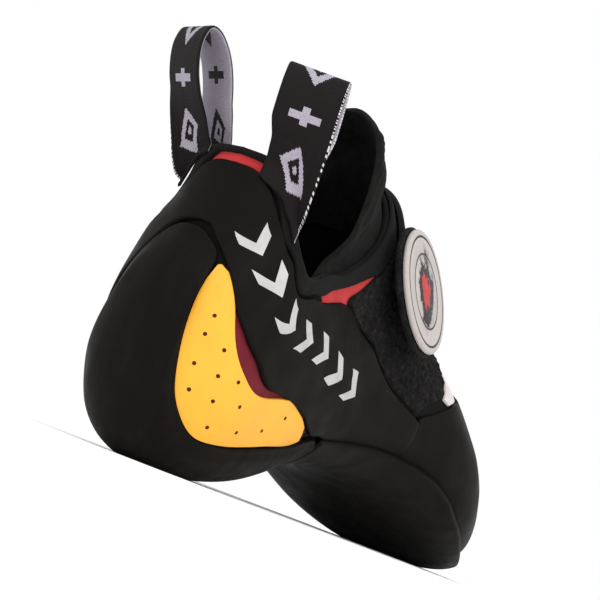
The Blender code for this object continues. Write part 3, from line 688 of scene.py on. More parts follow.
def pile():
    made = principled("loop_pile", BLACK, 0.95, specular=0.08, Sheen_Weight=0.02, Sheen_Roughness=0.5)
    tone = noise(made, 0.0022, detail=6, roughness=0.7)
    # Black blotched at random, with small reddish-brown flecks that are painted highlights on the pile's
    # fibres
    deep, middle, painted_highlight = (0.003, 0.003, 0.003), (0.010, 0.009, 0.009), (0.035, 0.024, 0.022)
    colour_by(made, tone, (0.35, deep), (0.55, middle), (0.72, painted_highlight))
    tufts = noise(made, 0.0016, detail=5, roughness=0.7)
    bumps(made, (tufts, 0.0008, 0.8), (cells(made, 0.0007), 0.0004, 0.7))
    return made


def woven(name, colour):
    """Webbing: fine ribs across it, crossed by its warp."""
    made = principled(name, colour, 0.72, specular=0.12, Sheen_Weight=0.02, Sheen_Roughness=0.4)
    tone = noise(made, 0.0010, detail=4, uv=True, stretch=(1, 4, 1))
    colour_by(made, tone, (0.30, shade(colour, 0.72)), (0.55, colour), (0.80, shade(colour, 1.30)))
    bumps(
        made,
        (ribs(made, 0.00075, "Y"), 0.00012, 0.65),
        (ribs(made, 0.00050, "X"), 0.00007, 0.45),
        (noise(made, 0.0005, detail=3), 0.00005, 0.4),
    )
    return made


def plain(name, colour, roughness, specular=0.3, grain=0.0006):
    made = principled(name, colour, roughness, specular=specular)
    colour_by(made, noise(made, 0.006, detail=5), (0.30, shade(colour, 0.85)), (0.70, shade(colour, 1.08)))
    bumps(made, (noise(made, grain, detail=3), 0.00006, 0.4))
    return made


# The blotch in the middle of the tab's face: how wide it is for its height, how far its edge strays, and how
# many steps of its colours there are to a metre from the middle. Then the pitch of the face's fine rings.
BLOTCH_NARROWING = 0.62
BLOTCH_STRAY = 0.014
BLOTCH_STEPS = 40.0
BADGE_RINGS = 0.0010


def badge():
    """The tab's face: pale, with fine rings, and a worn dark blotch with some red in its middle."""
    made = principled("worn_badge", BADGE, 0.55, specular=0.25)
    flat = node(made, "ShaderNodeVectorMath", operation="MULTIPLY")
    flat.inputs[1].default_value = (1, BLOTCH_NARROWING, 0)
    join(made, coordinates(made), flat.inputs[0])
    radius = node(made, "ShaderNodeVectorMath", operation="LENGTH")
    join(made, flat.outputs["Vector"], radius.inputs[0])
    strayed = node(made, "ShaderNodeMath", operation="MULTIPLY_ADD")
    strayed.inputs[1].default_value = BLOTCH_STRAY
    join(made, noise(made, 0.0055, detail=6, roughness=0.65), strayed.inputs[0])
    join(made, radius.outputs["Value"], strayed.inputs[2])
    steps = node(made, "ShaderNodeMath", operation="MULTIPLY")
    steps.inputs[1].default_value = BLOTCH_STEPS
    join(made, strayed.outputs["Value"], steps.inputs[0])
    dark, red = (0.020, 0.016, 0.016), (0.42, 0.030, 0.032)
    tones = ((0.42, red), (0.45, dark), (0.56, dark), (0.59, shade(BADGE, 0.7)), (0.66, BADGE))
    colour_by(made, steps.outputs["Value"], *tones)
    ring = node(
        made, "ShaderNodeTexWave", Scale=WAVE_PITCH / BADGE_RINGS, Distortion=0.6, wave_type="RINGS",
        rings_direction="Z",
    )
    join(made, coordinates(made), ring.inputs["Vector"])
    bumps(made, (ring.outputs["Fac"], 0.00016, 0.6), (noise(made, 0.0008, detail=3), 0.00008, 0.5))
    return made


def finishes():
    return {
        "rubber": rubber("black_satin_rubber", (1, 1, 1)),
        "heel_rubber": rubber("black_heel_rubber", (2.6, 2.6, 0.55)),
        "yellow": yellow_rubber(),
        "red": microfibre("red_microfibre_suede", RED, 0.15),
        # The red microfibre again, darker: painted shade for the lens between the heel panels and the band
        "red_painted_shade": microfibre("red_microfibre_painted_shade", RED_PAINTED_SHADE, 0.05),
        "pale": microfibre("pale_microfibre_suede", PALE, 0.20),
        "black": microfibre("black_microfibre_suede", BLACK, 0.01),
        "knit": knit(),
        "pile": pile(),
        "lining": plain("dark_lining", (0.012, 0.012, 0.012), 0.9, specular=0.1),
        "board": plain("board_fibre", (0.030, 0.026, 0.022), 0.8),
        "webbing": woven("black_webbing_weave", (0.0075, 0.0058, 0.0058)),
        "motif": woven("grey_lilac_weave", MOTIF),
        "selvage": woven("white_selvage", (0.62, 0.60, 0.60)),
        "thread": woven("white_thread", (0.72, 0.72, 0.72)),
        "print": plain("pale_print", (0.44, 0.435, 0.425), 0.55),
        # Dark brown discs in place of the heel panel's holes: painted shade of each hole's depth
        "hole": plain("painted_hole_shade", (0.060, 0.020, 0.006), 0.9, specular=0.1),
        "badge": badge(),
        "badge_dark": plain("dark_ring", (0.05, 0.045, 0.045), 0.6),
    }


# Pieces


# Where the upper is dyed, and where its red is painted darker as shade: the angles and stations of the
# crescent behind the heel, of the lens beside either heel panel, where the red is painted shade between the
# panel and the band, of the triangle beside the closure pad and of the red inner side. The row at the rim is
# black.
CRESCENT = ((-25, 41), 16.25)
SHADED_LENS = ((27, 84), (9.5, 15.35))
TRIANGLE = ((-122, -103), (9.8, 12.15))
INNER_SIDE = (90, (5.0, 12.35))
RIM_SHARE = 0.965


def within(values, limits):
    return (values > limits[0]) & (values < limits[1])


def upper():
    """The hollow wall, dyed outside, with its red painted darker as shade in the lens beside each heel panel,
    and lined inside.
    """
    columns, under = 132, 20
    opening = UPPER_OPENING_ANGLE
    below = np.linspace(-opening, opening, under, endpoint=False)
    above = np.linspace(opening, 360 - opening, columns - under, endpoint=False)
    angle = np.concatenate([below, above])
    edge = smooth_column(COLLAR, 1, from_heel(angle))
    t = np.concatenate([np.linspace(0, 0.97, 96), [0.98, 0.99, 0.995, 1.0]])
    station = t[:, None] ** 0.93 * edge[None, :]
    angles = np.broadcast_to(angle, station.shape)
    middle = (station[:-1] + station[1:]) / 2
    keep = ~(within(middle, UPPER_OPENING) & (np.arange(columns) < under))
    base = offset_form(station, angles, np.full(station.shape, -UPPER_WALL))
    full = rounded(base, 0.0008, ("last_row",))
    grain = np.minimum(0.00022 * wander(form(station, angles), 0.022, 3), 0.00012)
    top = offset_form(station, angles, -0.4 * UPPER_WALL * (1 - full) + grain)
    turn = (angles[:-1] + 180) % 360 - 180
    crescent = within(turn, CRESCENT[0]) & (middle > CRESCENT[1])
    # The lens: red painted darker, as the shade between a heel panel and the band
    lens = within(np.abs(turn), SHADED_LENS[0]) & within(middle, SHADED_LENS[1])
    triangle = within(turn, TRIANGLE[0]) & within(middle, TRIANGLE[1])
    inner_side = (turn > INNER_SIDE[0]) & within(middle, INNER_SIDE[1])
    red, lining, black, red_painted_shade = range(4)
    dyed = np.where(crescent | triangle | inner_side, red, np.where(lens, red_painted_shade, black))
    dyed[t[:-1] > RIM_SHARE] = np.where(crescent[-1], red, black)
    piece = grid_piece(
        "upper_shell", placed(top), placed(base), [LOOK[k] for k in ("red", "lining", "black", "red_painted_shade")],
        ring=True, tip=True, keep=keep, cell_finish=(dyed, np.full(dyed.shape, lining)), rim_finish=black,
    )
    return piece, "upper", "red_microfibre"


def flat_sheet(name, stations, half_angle, columns, low, thickness, finish, radius):
    """A plain sheet under the foot."""
    station, angle = np.meshgrid(stations, np.linspace(-half_angle, half_angle, columns), indexing="ij")
    return soft_layer(name, station, angle, low, thickness, (LOOK[finish],), radius=radius)


def board():
    stations = np.linspace(TOE_RAND_CLOSED + 0.08, HEEL_CUP_FRONT[0][0] - 0.02, 50)
    piece = flat_sheet("board_sheet", stations, BOARD_ANGLE, 20, LAYER_GAP, BOARD_THICKNESS, "board", 0.0003)
    return piece, "midsole_board", "board"


def insole():
    low = -UPPER_WALL - LAYER_GAP - INSOLE_THICKNESS
    stations = np.linspace(*INSOLE, 80)
    piece = flat_sheet("insole_sheet", stations, INSOLE_ANGLE, 24, low, INSOLE_THICKNESS, "lining", 0.0008)
    return piece, "insole", "insole_fabric"


def outsole():
    first, last = OUTSOLE[0][0], OUTSOLE[-1][0]
    stations = first + (last - first) * shares(110, 0.012)
    lateral, medial = smooth_column(OUTSOLE, 1, stations), smooth_column(OUTSOLE, 2, stations)
    angle = spread(lateral, medial, shares(44, 0.03))
    station = np.broadcast_to(stations[:, None], angle.shape)
    low = LAYER_GAP + RAND_THICKNESS + 0.00005
    thickness = LAYER_GAP + np.interp(station, (WING_START, last), (SOLE_THICKNESS, WING_THICKNESS))
    piece = soft_layer("forefoot_sole", station, angle, low, thickness, (LOOK["rubber"],), radius=0.0012)
    return piece, "front_outsole", "black_rubber"


# How far from its free edge the heel rubber starts to thin out towards the band's thickness, and how much
# more it keeps there
HEEL_FEATHER = 0.012
HEEL_STEP = 0.0002


def heel_cup():
    t = shares(150, 0.012)
    station, angle = between(resampled(HEEL_CUP_FRONT, t), resampled(HEEL_CUP_EDGE, t), shares(70, 0.012))
    points = form(station, angle)
    ripple = 0.00010 * wander(points, 0.020, 5) + creases(points)
    run = arc(points, 1)
    from_edge = np.clip((run[:, -1:] - run) / HEEL_FEATHER, 0, 1)
    feather = (RAND_THICKNESS + HEEL_STEP - HEEL_RUBBER) * (1 - from_edge**2 * (3 - 2 * from_edge))
    piece = soft_layer(
        "heel_rubber_cup", station, angle, LAYER_GAP, HEEL_RUBBER, (LOOK["heel_rubber"],), radius=0.0007,
        relief=ripple + feather,
    )
    return piece, "heel_cup", "black_rubber"


# The band covers this share of the collar strip's reach beside the throat on the lateral side, between the
# outer two of these angles and wholly between the inner two
BAND_OVER_STRIP = 0.55
BAND_OVER_ANGLES = (60, 76, 97, 107)


def strip_given_up(angle):
    """Stations of the collar strip's reach that the band takes over at an angle."""
    turn = (np.asarray(angle) + 180) % 360 - 180
    share = np.interp(-turn, BAND_OVER_ANGLES, (0, 1, 1, 0))
    share = share * share * (3 - 2 * share)
    return BAND_OVER_STRIP * share * smooth_column(COLLAR, 2, from_heel(angle))


def band_edges():
    t = np.linspace(0, 1, 150)
    lower = np.vstack([resampled(SLING_MEDIAL_LOWER, t)[::-1], resampled(SLING_LATERAL_LOWER, t)[1:]])
    top = np.vstack([resampled(SLING_MEDIAL_UPPER, t)[::-1], resampled(SLING_LATERAL_UPPER, t)[1:]])
    top[:, 0] += strip_given_up(top[:, 1]) * (top[:, 0] > 11.5)
    return lower, top


def band_relief(points):
    return 0.00010 * wander(points, 0.018, 8) + creases(points)


def sling_band():
    lower, top = widened(*band_edges(), 0.0006, 0.0001)
    station, angle = between(lower, top, shares(30, 0.06))
    piece = soft_layer(
        "heel_band", station, angle, LAYER_GAP, RAND_THICKNESS, (LOOK["rubber"],), radius=0.0009,
        sides=("first_column", "last_column"), relief=band_relief(form(station, angle)),
    )
    return piece, "sling_band", "black_rubber"


# How far a heel panel reaches under its neighbours at its lower and at its upper edge
PANEL_TUCKS = (0.0009, 0.0020)


def panel_relief(points):
    return 0.00006 * wander(points, 0.012, 4)


def heel_panel(name, edges, open_above):
    """A yellow panel, tucked under its neighbours but for the stretch of its top edge beside the red lens."""
    t = shares(120, 0.02)
    shown = np.sin(math.pi * np.clip((t - open_above[0]) / (open_above[1] - open_above[0]), 0, 1)) ** 0.7
    tucks = (PANEL_TUCKS[0], PANEL_TUCKS[1] * (1 - shown))
    lower, top = widened(resampled(edges[0], t), resampled(edges[1], t), *tucks)
    station, angle = between(lower, top, shares(50, 0.03))
    piece = soft_layer(
        name + "_skin", station, angle, LAYER_GAP, PANEL_THICKNESS, (LOOK["yellow"],), radius=0.0006,
        sides=("last_column", "last_row", "first_row"), relief=panel_relief(form(station, angle)),
    )
    return piece, name, "yellow_rubber"


def toe_rand():
    columns, under = 150, 24
    angle = np.concatenate([
        np.linspace(-TOE_RAND_ANGLE, TOE_RAND_ANGLE, under, endpoint=False),
        np.linspace(TOE_RAND_ANGLE, 360 - TOE_RAND_ANGLE, columns - under, endpoint=False),
    ])
    edge = np.interp(angle % 360, *zip(*TOE_RAND))
    edge = np.where(edge > RAND_REAR - 0.01, BAND_FRONT, edge)
    t = np.concatenate([np.linspace(0, 0.96, 80), [0.975, 0.985, 0.992, 0.997, 1.0]])
    station = t[:, None] * edge[None, :]
    angles = np.broadcast_to(angle, station.shape)
    base = offset_form(station, angles, np.full(station.shape, LAYER_GAP))
    full = rounded(base, 0.0009, ("last_row",))
    meets_band = edge > RAND_REAR
    full[:, meets_band] = 1
    points = form(station, angles)
    ripple = 0.00008 * wander(points, 0.016, 9) + creases(points)
    height = RAND_THICKNESS * (RIM_FULLNESS + (1 - RIM_FULLNESS) * full)
    outer = offset_form(station, angles, LAYER_GAP + height + ripple * full)
    middle = (station[:-1] + station[1:]) / 2
    keep = ~((middle > TOE_RAND_CLOSED) & (np.arange(columns) < under))
    piece = grid_piece(
        "toe_rubber", placed(outer), placed(base), (LOOK["rubber"],), ring=True, tip=True, keep=keep
    )
    return piece, "toe_rand", "black_rubber"


def vamp_panel():
    station, angle = strip(VAMP, shares(70, 0.02), shares(50, 0.03))
    station = station - 0.03 * (1 - shares(50, 0.03))
    piece = soft_layer(
        "vamp_sheet", station, angle, LAYER_GAP, VAMP_THICKNESS, (LOOK["pale"],), radius=0.0005
    )
    return piece, "vamp_panel", "pale_microfibre"


def closure_pad():
    station, angle = strip(CLOSURE_PAD, shares(110, 0.02), shares(110, 0.02))
    points = form(station, angle)
    tufts = 0.00022 * wander(points, 0.0035, 11) + 0.00018 * wander(points, 0.0018, 12)
    piece = soft_layer(
        "loop_pile_pad", station, angle, LAYER_GAP, PAD_THICKNESS, (LOOK["pile"],), radius=0.0012,
        relief=tufts,
    )
    return piece, "closure_pad", "black_fabric"


# How much deeper the collar's strip reaches beside the red crescent behind the heel, in stations, and the
# angles between the outer two of which it does
CRESCENT_TAPER = 0.16
TAPER_ANGLES = (20, 36, 58, 66)


def collar_binding():
    """A soft rolled strip round the collar and the throat, which closes the red crescent's two ends."""
    angle = np.linspace(0, 360, 260, endpoint=False)
    turn = from_heel(angle)
    edge, reach = smooth_column(COLLAR, 1, turn), smooth_column(COLLAR, 2, turn)
    reach = reach + CRESCENT_TAPER * np.interp(turn, TAPER_ANGLES, (0, 1, 1, 0)) - strip_given_up(angle)
    near, far = (0, 0.02, 0.05, 0.10, 0.16), (0.84, 0.90, 0.95, 0.98, 1.0)
    t = np.concatenate([near, np.linspace(0.24, 0.76, 9), far])
    station = edge - reach * (1 - t[:, None])
    angles = np.broadcast_to(angle, station.shape)
    points = form(station, angles)
    folds = 0.00010 * wander(points, 0.010, 21) + creases(points)
    piece = soft_layer(
        "collar_roll", station, angles, LAYER_GAP, BINDING_THICKNESS, (LOOK["black"],), radius=0.0014,
        sides=("first_row", "last_row"), relief=folds, ring=True,
    )
    return piece, "collar_binding", "black_fabric"


# How far apart the tongue's shallow ribs are, in stations
TONGUE_RIB_PITCH = 0.55


def tongue():
    """The stretch tongue, soft at its free edge, with shallow ribs across its top."""
    first = TONGUE[0][0]
    angle = first + (360 - 2 * first) * shares(120, 0.02)
    folded = np.where(angle > 180, 360 - angle, angle)
    root, edge = smooth_column(TONGUE, 1, folded), smooth_column(TONGUE, 2, folded)
    station = spread(root, edge, shares(110, 0.015))
    angles = np.broadcast_to(angle[:, None], station.shape)
    collar = smooth_column(COLLAR, 1, from_heel(angles))
    above = np.clip((station - collar - TONGUE_FLARE_START) / TONGUE_FLARE_LENGTH, 0, 1)
    flare = TONGUE_FLARE * above**2 * (3 - 2 * above)
    low = flare - UPPER_WALL - LAYER_GAP - TONGUE_THICKNESS
    points = form(station, angles)
    ribs_across = np.sin(station * 2 * math.pi / TONGUE_RIB_PITCH)
    waves = above * (0.00040 * wander(points, 0.011, 31) + 0.00026 * ribs_across)
    knitted = (LOOK["knit"], LOOK["knit"])
    piece = soft_layer(
        "tongue_pad", station, angles, low, TONGUE_THICKNESS, knitted, radius=0.0020, relief=waves
    )
    return piece, "tongue", "black_fabric"


def strap_grid(columns):
    turns = np.linspace(STRAP[0][0], STRAP[-1][0], 110)
    middle = smooth_column(STRAP, 1, turns)
    per_station = np.linalg.norm(form(middle + 0.5, turns) - form(middle - 0.5, turns), axis=1)
    half = STRAP_WIDTH / 2 / per_station
    station = middle[:, None] - (2 * columns - 1) * half[:, None]
    return station, np.broadcast_to(turns[:, None], station.shape)


STRAP_LOW = LAYER_GAP + max(PAD_THICKNESS, RAND_THICKNESS) + LAYER_GAP


def closure_strap():
    station, angle = strap_grid(shares(34, 0.04))
    piece = soft_layer(
        "instep_strap", station, angle, STRAP_LOW, STRAP_THICKNESS, (LOOK["webbing"],), radius=0.0008
    )
    return piece, "closure_strap", "black_webbing"


def tab_frame():
    """The round tab's seat, as the CAD has it, from the box of its backing."""
    facing = np.array(TAB_FACING) / np.linalg.norm(TAB_FACING)
    low, high = (np.array(v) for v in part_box("strap_tab_backing"))
    centre = Vector((low + high) / 2 - facing * TAB_BACKING / 2)
    facing = Vector(facing)
    turn = facing.to_track_quat("Z", "Y").to_matrix().to_4x4()
    return Matrix.Translation(centre) @ turn


def lathe(name, profile, finishes, finish_of, segments=128):
    """A disc turned from (radius, height) points, its first and last on the axis."""
    mesh = bpy.data.meshes.new(name)
    turns = np.linspace(0, 2 * math.pi, segments, endpoint=False)
    points = [(0, 0, profile[0][1])]
    for radius, height in profile[1:-1]:
        points.extend((radius * math.cos(a), radius * math.sin(a), height) for a in turns)
    points.append((0, 0, profile[-1][1]))
    faces, index = [], []
    for k in range(segments):
        after = (k + 1) % segments
        faces.append((0, 1 + after, 1 + k))
        index.append(finish_of[0])
        for ring in range(len(profile) - 3):
            a, b = 1 + ring * segments, 1 + (ring + 1) * segments
            faces.append((a + k, a + after, b + after, b + k))
            index.append(finish_of[ring + 1])
        last = 1 + (len(profile) - 3) * segments
        faces.append((last + k, last + after, len(points) - 1))
        index.append(finish_of[-1])
    mesh.from_pydata(points, [], faces)
    for made in finishes:
        mesh.materials.append(made)
    mesh.polygons.foreach_set("material_index", index)
    mesh.update()
    mesh.shade_smooth()
    mesh.set_sharp_from_angle(angle=math.radians(50))
    return add(name, mesh)


# The two dark grooves of the tab's face: how far inside its first edge, and how deep, each of their points is
TAB_GROOVES = (
    (0, 0), (0.0002, 0.0003), (0.0006, 0.0003), (0.0008, 0), (0.0060, 0), (0.0062, 0.0002), (0.0065, 0.0002),
    (0.0067, 0),
)


def round_tab():
    """The hook backing and the moulded face, with dark grooves round its worn middle."""
    seat = tab_frame()
    radius, edge, top = TAB_DIAMETER / 2, 0.0006, TAB_BACKING
    side = ((radius - edge, 0), (radius, edge), (radius, top - edge), (radius - edge, top))
    backing = lathe("tab_hook_disc", ((0, 0), *side, (0, top)), (LOOK["pile"],), (0,) * 5)
    backing.matrix_world = seat
    low = TAB_BACKING + LAYER_GAP
    high = low + TAB_FACE
    radius -= TAB_FACE_MARGIN
    profile = [(0, low), (radius - 0.0005, low), (radius, low + 0.0005), (radius, high - edge)]
    profile.append((radius - edge, high))
    at = radius - 0.0020
    for inwards, depth in TAB_GROOVES:
        profile.append((at - inwards, high - depth))
    profile.append((0, high + 0.0001))
    finish_of = (0, 0, 0, 0, 0, 1, 1, 1, 0, 1, 1, 1, 0)
    face = lathe("tab_rubber_face", profile, (LOOK["badge"], LOOK["badge_dark"]), finish_of)
    face.matrix_world = seat
    return (backing, "strap_tab_backing", "black_webbing"), (face, "strap_tab_face", "tab_rubber")


def level_and_unit(vectors):
    """Vectors flattened onto the level plane, and of length 1."""
    level = vectors * (1, 1, 0)
    return level / np.linalg.norm(level, axis=-1, keepdims=True)


def leg(edge, angles, steps, length, distance):
    """Rows of points down a loop's leg, on the form's offset, at the steps' shares of the leg's length."""
    station_step = 0.5
    middle = len(angles) // 2
    high, low = form(edge[middle], angles[middle]), form(edge[middle] - station_step, angles[middle])
    per_metre = station_step / np.linalg.norm(high - low)
    station = edge - steps[:, None] * length * per_metre
    return offset_form(station, angles, np.full(station.shape, distance))


# For the lateral and the medial loop: how far it swings out halfway up, the share of its width that its foot
# keeps, and the length of its outer leg
LOOP_BULGE = (0.0, 0.0050)
LOOP_GATHER = (1.0, 0.70)
LOOP_FEET = (LOOP_OUTER_LEG, 0.0035)


def loop_sheet(rim_angle, height_share, lean_forwards, lean_out, turn, across, around, leg_rows):
    """The middle surface of a pull loop, from its outer foot over its bow to its inner one."""
    half_arc = 5.0
    held_below, free_above = 0.16, 0.50
    arc_ends = form(COLLAR[0][1], np.array([rim_angle - half_arc, rim_angle + half_arc]))
    half_angle = half_arc * LOOP_WIDTH / np.linalg.norm(arc_ends[1] - arc_ends[0])
    angles = np.linspace(rim_angle - half_angle, rim_angle + half_angle, across)
    edge = column(COLLAR, 1, from_heel(angles))
    medial = rim_angle > 0
    gather, bulge = LOOP_GATHER[medial], LOOP_BULGE[medial]
    rim, out = form(edge, angles), level_and_unit(form_normal(edge, angles))
    turned = np.array(Matrix.Rotation(math.radians(turn), 3, "Z"))
    facing = turned @ out[across // 2]
    width_line = np.cross(facing, (0, 0, 1))
    rim = rim.mean(0) + (rim - rim.mean(0)) * gather
    straight = rim.mean(0) + np.outer(np.linspace(-LOOP_WIDTH, LOOP_WIDTH, across) / 2, width_line)
    outside = LAYER_GAP + BINDING_THICKNESS + LAYER_GAP + LOOP_THICKNESS / 2
    inside = -UPPER_WALL - LAYER_GAP - LOOP_THICKNESS / 2
    foot_angles = rim_angle + (angles - rim_angle) * gather
    foot_edge = column(COLLAR, 1, from_heel(foot_angles))
    lines = list(leg(foot_edge, foot_angles, np.linspace(1, 0, leg_rows), LOOP_FEET[medial], outside))
    for outwards, rise in resampled(LOOP_PROFILE, np.linspace(0, 1, around)):
        free = np.clip((rise - held_below) / (free_above - held_below), 0, 1)
        foot = outside if outwards > 0 else inside
        reach = outwards * LOOP_HALF_DEPTH + foot * (1 - free) + bulge * math.sin(math.pi * rise)
        lift = rise * height_share * LOOP_HEIGHT
        lean = lift * np.array([lean_forwards, 0, 1]) + facing * lean_out * lift * rise
        lines.append(rim * (1 - free) + straight * free + (out * (1 - free) + facing * free) * reach + lean)
    lines.extend(leg(foot_edge, foot_angles, np.linspace(0.15, 1, leg_rows), LOOP_INNER_LEG, inside))
    return np.array(lines)


def evened(sheet, count, width):
    """The sheet resampled to even steps along it, and softened a little."""
    for _ in range(6):
        sheet[1:-1] = (sheet[:-2] + 2 * sheet[1:-1] + sheet[2:]) / 4
    middle = sheet[:, sheet.shape[1] // 2]
    run = np.concatenate([[0], np.cumsum(np.linalg.norm(np.diff(middle, axis=0), axis=1))])
    even = np.linspace(0, run[-1], count)
    lengthwise = between_rows(sheet, np.interp(even, run, np.arange(len(run))))
    crosswise = between_rows(lengthwise.swapaxes(0, 1), np.linspace(0, sheet.shape[1] - 1, width))
    return crosswise.swapaxes(0, 1), run[-1]


# The webbing's pattern: how often it repeats, the middle and half size of its diamond and the middle of its
# crossed bars. Then the width of a woven thread, of the webbing's rounded edge and of its white front edge,
# and the length from foot to foot that its threads are counted for.
MOTIF_PITCH = 0.034
DIAMOND_MIDDLE = (0.0002, 0.010)
DIAMOND_HALF = (0.0058, 0.0075)
BAR_MIDDLE = 0.0265
THREAD = 0.00048
WEBBING_EDGE = 0.0006
SELVAGE = 0.0007
WEBBING_LENGTH = 0.118


def motif(u, v):
    """A woven pattern of diamonds and small bars, from distances across and along the webbing in metres."""
    along_ = v % MOTIF_PITCH
    aside, ahead = np.abs(u - DIAMOND_MIDDLE[0]), np.abs(along_ - DIAMOND_MIDDLE[1])
    diamond = aside / DIAMOND_HALF[0] + ahead / DIAMOND_HALF[1]
    ring = (diamond < 1.0) & (diamond > 0.52)
    core = diamond < 0.20
    bar = (np.abs(along_ - BAR_MIDDLE) < 0.0012) & (np.abs(u) < 0.0052)
    notch = (np.abs(along_ - BAR_MIDDLE) < 0.0028) & (np.abs(u) < 0.0011)
    return ring | core | bar | notch


def pull_loop(name, *shape):
    sheet = loop_sheet(*shape, 9, 160, 14)
    columns = int(LOOP_WIDTH / THREAD) + 1
    sheet, length = evened(sheet, int(WEBBING_LENGTH / THREAD), columns)
    run, width = np.gradient(sheet, axis=0), np.gradient(sheet, axis=1)
    normal = np.cross(run, width)
    normal /= np.linalg.norm(normal, axis=-1, keepdims=True)
    u = np.linspace(-LOOP_WIDTH / 2, LOOP_WIDTH / 2, columns)
    near = np.clip((np.abs(u) - LOOP_WIDTH / 2 + WEBBING_EDGE) / WEBBING_EDGE, 0, 1)
    full = np.sqrt(np.clip(1 - near**2, 0.05, 1))
    half = (LOOP_THICKNESS / 2 * full)[None, :, None]
    cell_u = (u[:-1] + u[1:]) / 2
    cell_v = np.linspace(0, length, len(sheet))[:-1]
    across_cells, along_cells = np.meshgrid(cell_u, cell_v)
    drawn = motif(across_cells, along_cells)
    edge = across_cells * math.copysign(1, shape[0]) > LOOP_WIDTH / 2 - SELVAGE
    edge &= along_cells % (2 * THREAD) < THREAD
    outside = np.where(edge, 2, np.where(drawn, 1, 0))
    inside = np.where(edge, 2, np.where(drawn, 0, 1))
    piece = grid_piece(
        name.replace("pull_loop", "woven_loop"), placed(sheet + normal * half), placed(sheet - normal * half),
        (LOOK["webbing"], LOOK["motif"], LOOK["selvage"]), cell_finish=(outside, inside),
    )
    return piece, name, "black_webbing"


# What is laid on the pieces


def steadied(rows, reach):
    """Rows averaged with their neighbours up to a number of rows away, and shorter runs near both ends."""
    count = len(rows)
    return np.stack([rows[max(0, i - reach): min(count, i + reach + 1)].mean(0) for i in range(count)])


def track(rows, count=150, reach=0):
    """A curve of (station, angle) rows: its way in metres, its points, and steps along and across it."""
    middle = resampled(rows, np.linspace(0, 1, count))
    station, angle = middle.T
    step = 0.05
    by_station = (form(station + step, angle) - form(station - step, angle)) / (2 * step)
    by_angle = (form(station, angle + step) - form(station, angle - step)) / (2 * step)
    ahead = np.gradient(middle, axis=0)
    run = steadied(by_station * ahead[:, :1] + by_angle * ahead[:, 1:], reach)
    run /= np.linalg.norm(run, axis=1, keepdims=True)
    normal = np.cross(by_station, by_angle)
    side = np.cross(normal / np.linalg.norm(normal, axis=1, keepdims=True), run)
    metric, wanted = np.stack([by_station, by_angle], -1), np.stack([run, side], -1)
    bases = np.stack([np.linalg.lstsq(m, w, rcond=None)[0] for m, w in zip(metric, wanted)])
    steps = np.linalg.norm(np.diff(form(middle[:, 0], middle[:, 1]), axis=0), axis=1)
    return np.concatenate([[0], np.cumsum(steps)]), middle, bases


def spots(line, points):
    """(station, angle) of points in metres along and across a track."""
    way, middle, bases = line
    at = np.interp(points[:, 0], way, np.arange(len(way)))
    return between_rows(middle, at) + between_rows(bases, at)[:, :, 1] * points[:, 1:]


# How high what is laid on the band, on the heel panel and on the collar's strip is above them
PRINT_LIFT = 0.00007
HOLE_LIFT = 0.00006
THREAD_LIFT = 0.0003


def laid(spot, height):
    """Points at a height over (station, angle) places of the form."""
    return placed(offset_form(spot[:, 0], spot[:, 1], height))


def flat_piece(name, points, faces, finish):
    mesh = bpy.data.meshes.new(name)
    mesh.from_pydata([tuple(p) for p in points], [], faces)
    mesh.materials.append(finish)
    mesh.shade_smooth()
    return add(name, mesh)


# The band's print: its middle line from behind the heel forwards, and how many chevrons it has. A chevron's
# half height, its stroke and how far its tip leads are in metres, the last two before the row is stretched to
# the line's length from its own.
PRINT_LINE = (
    (16.1, -31.0), (15.62, -45.5), (14.92, -60.5), (14.15, -75.5), (13.02, -88.5), (11.89, -94.5),
    (10.79, -94.0), (9.96, -91.0), (9.26, -85.5), (8.79, -80.5),
)
PRINT_CHEVRONS = 7
PRINT_LENGTH = 0.068
PRINT_HALF = 0.0049
PRINT_STROKE = 0.0034
PRINT_LEAD = 0.0040


def chevron(start):
    """The two strokes of a chevron."""
    half, tip = PRINT_HALF, start + PRINT_LEAD
    return (
        ((start, -half), (start + PRINT_STROKE, -half), (tip + PRINT_STROKE, 0), (tip, 0)),
        ((tip, 0), (tip + PRINT_STROKE, 0), (start + PRINT_STROKE, half), (start, half)),
    )


def band_print():
    """A row of chevrons along the band's lateral side, in pale ink."""
    line = track(PRINT_LINE, reach=16)
    stretch = (line[0][-1] / PRINT_LENGTH, 1)
    points, faces = [], []
    rows, columns = 10, 4
    shares_of = np.meshgrid(np.linspace(0, 1, rows), np.linspace(0, 1, columns), indexing="ij")
    down, aside = (grid.ravel()[:, None] for grid in shares_of)
    for k in range(PRINT_CHEVRONS):
        for stroke in chevron(k * PRINT_LENGTH / PRINT_CHEVRONS):
            a, b, c, d = np.array(stroke) * stretch
            flat = (a * (1 - aside) + b * aside) * (1 - down) + (d * (1 - aside) + c * aside) * down
            spot = spots(line, flat)
            relief = band_relief(form(spot[:, 0], spot[:, 1]))
            begin = len(points)
            points.extend(laid(spot, LAYER_GAP + RAND_THICKNESS + relief + PRINT_LIFT))
            for i in range(rows - 1):
                for j in range(columns - 1):
                    corner = begin + i * columns + j
                    faces.append((corner, corner + 1, corner + columns + 1, corner + columns))
    return flat_piece("band_print", points, faces, LOOK["print"])


# The zigzag thread beside the lateral loop's foot: its line, how many turns it makes, how far it swings to
# either side of the line, and its own width
THREAD_LINE = ((16.88, -33.5), (16.72, -34.5), (16.52, -35.5))
THREAD_TURNS = 7
THREAD_HALF = 0.0013
THREAD_WIDTH = 0.00042


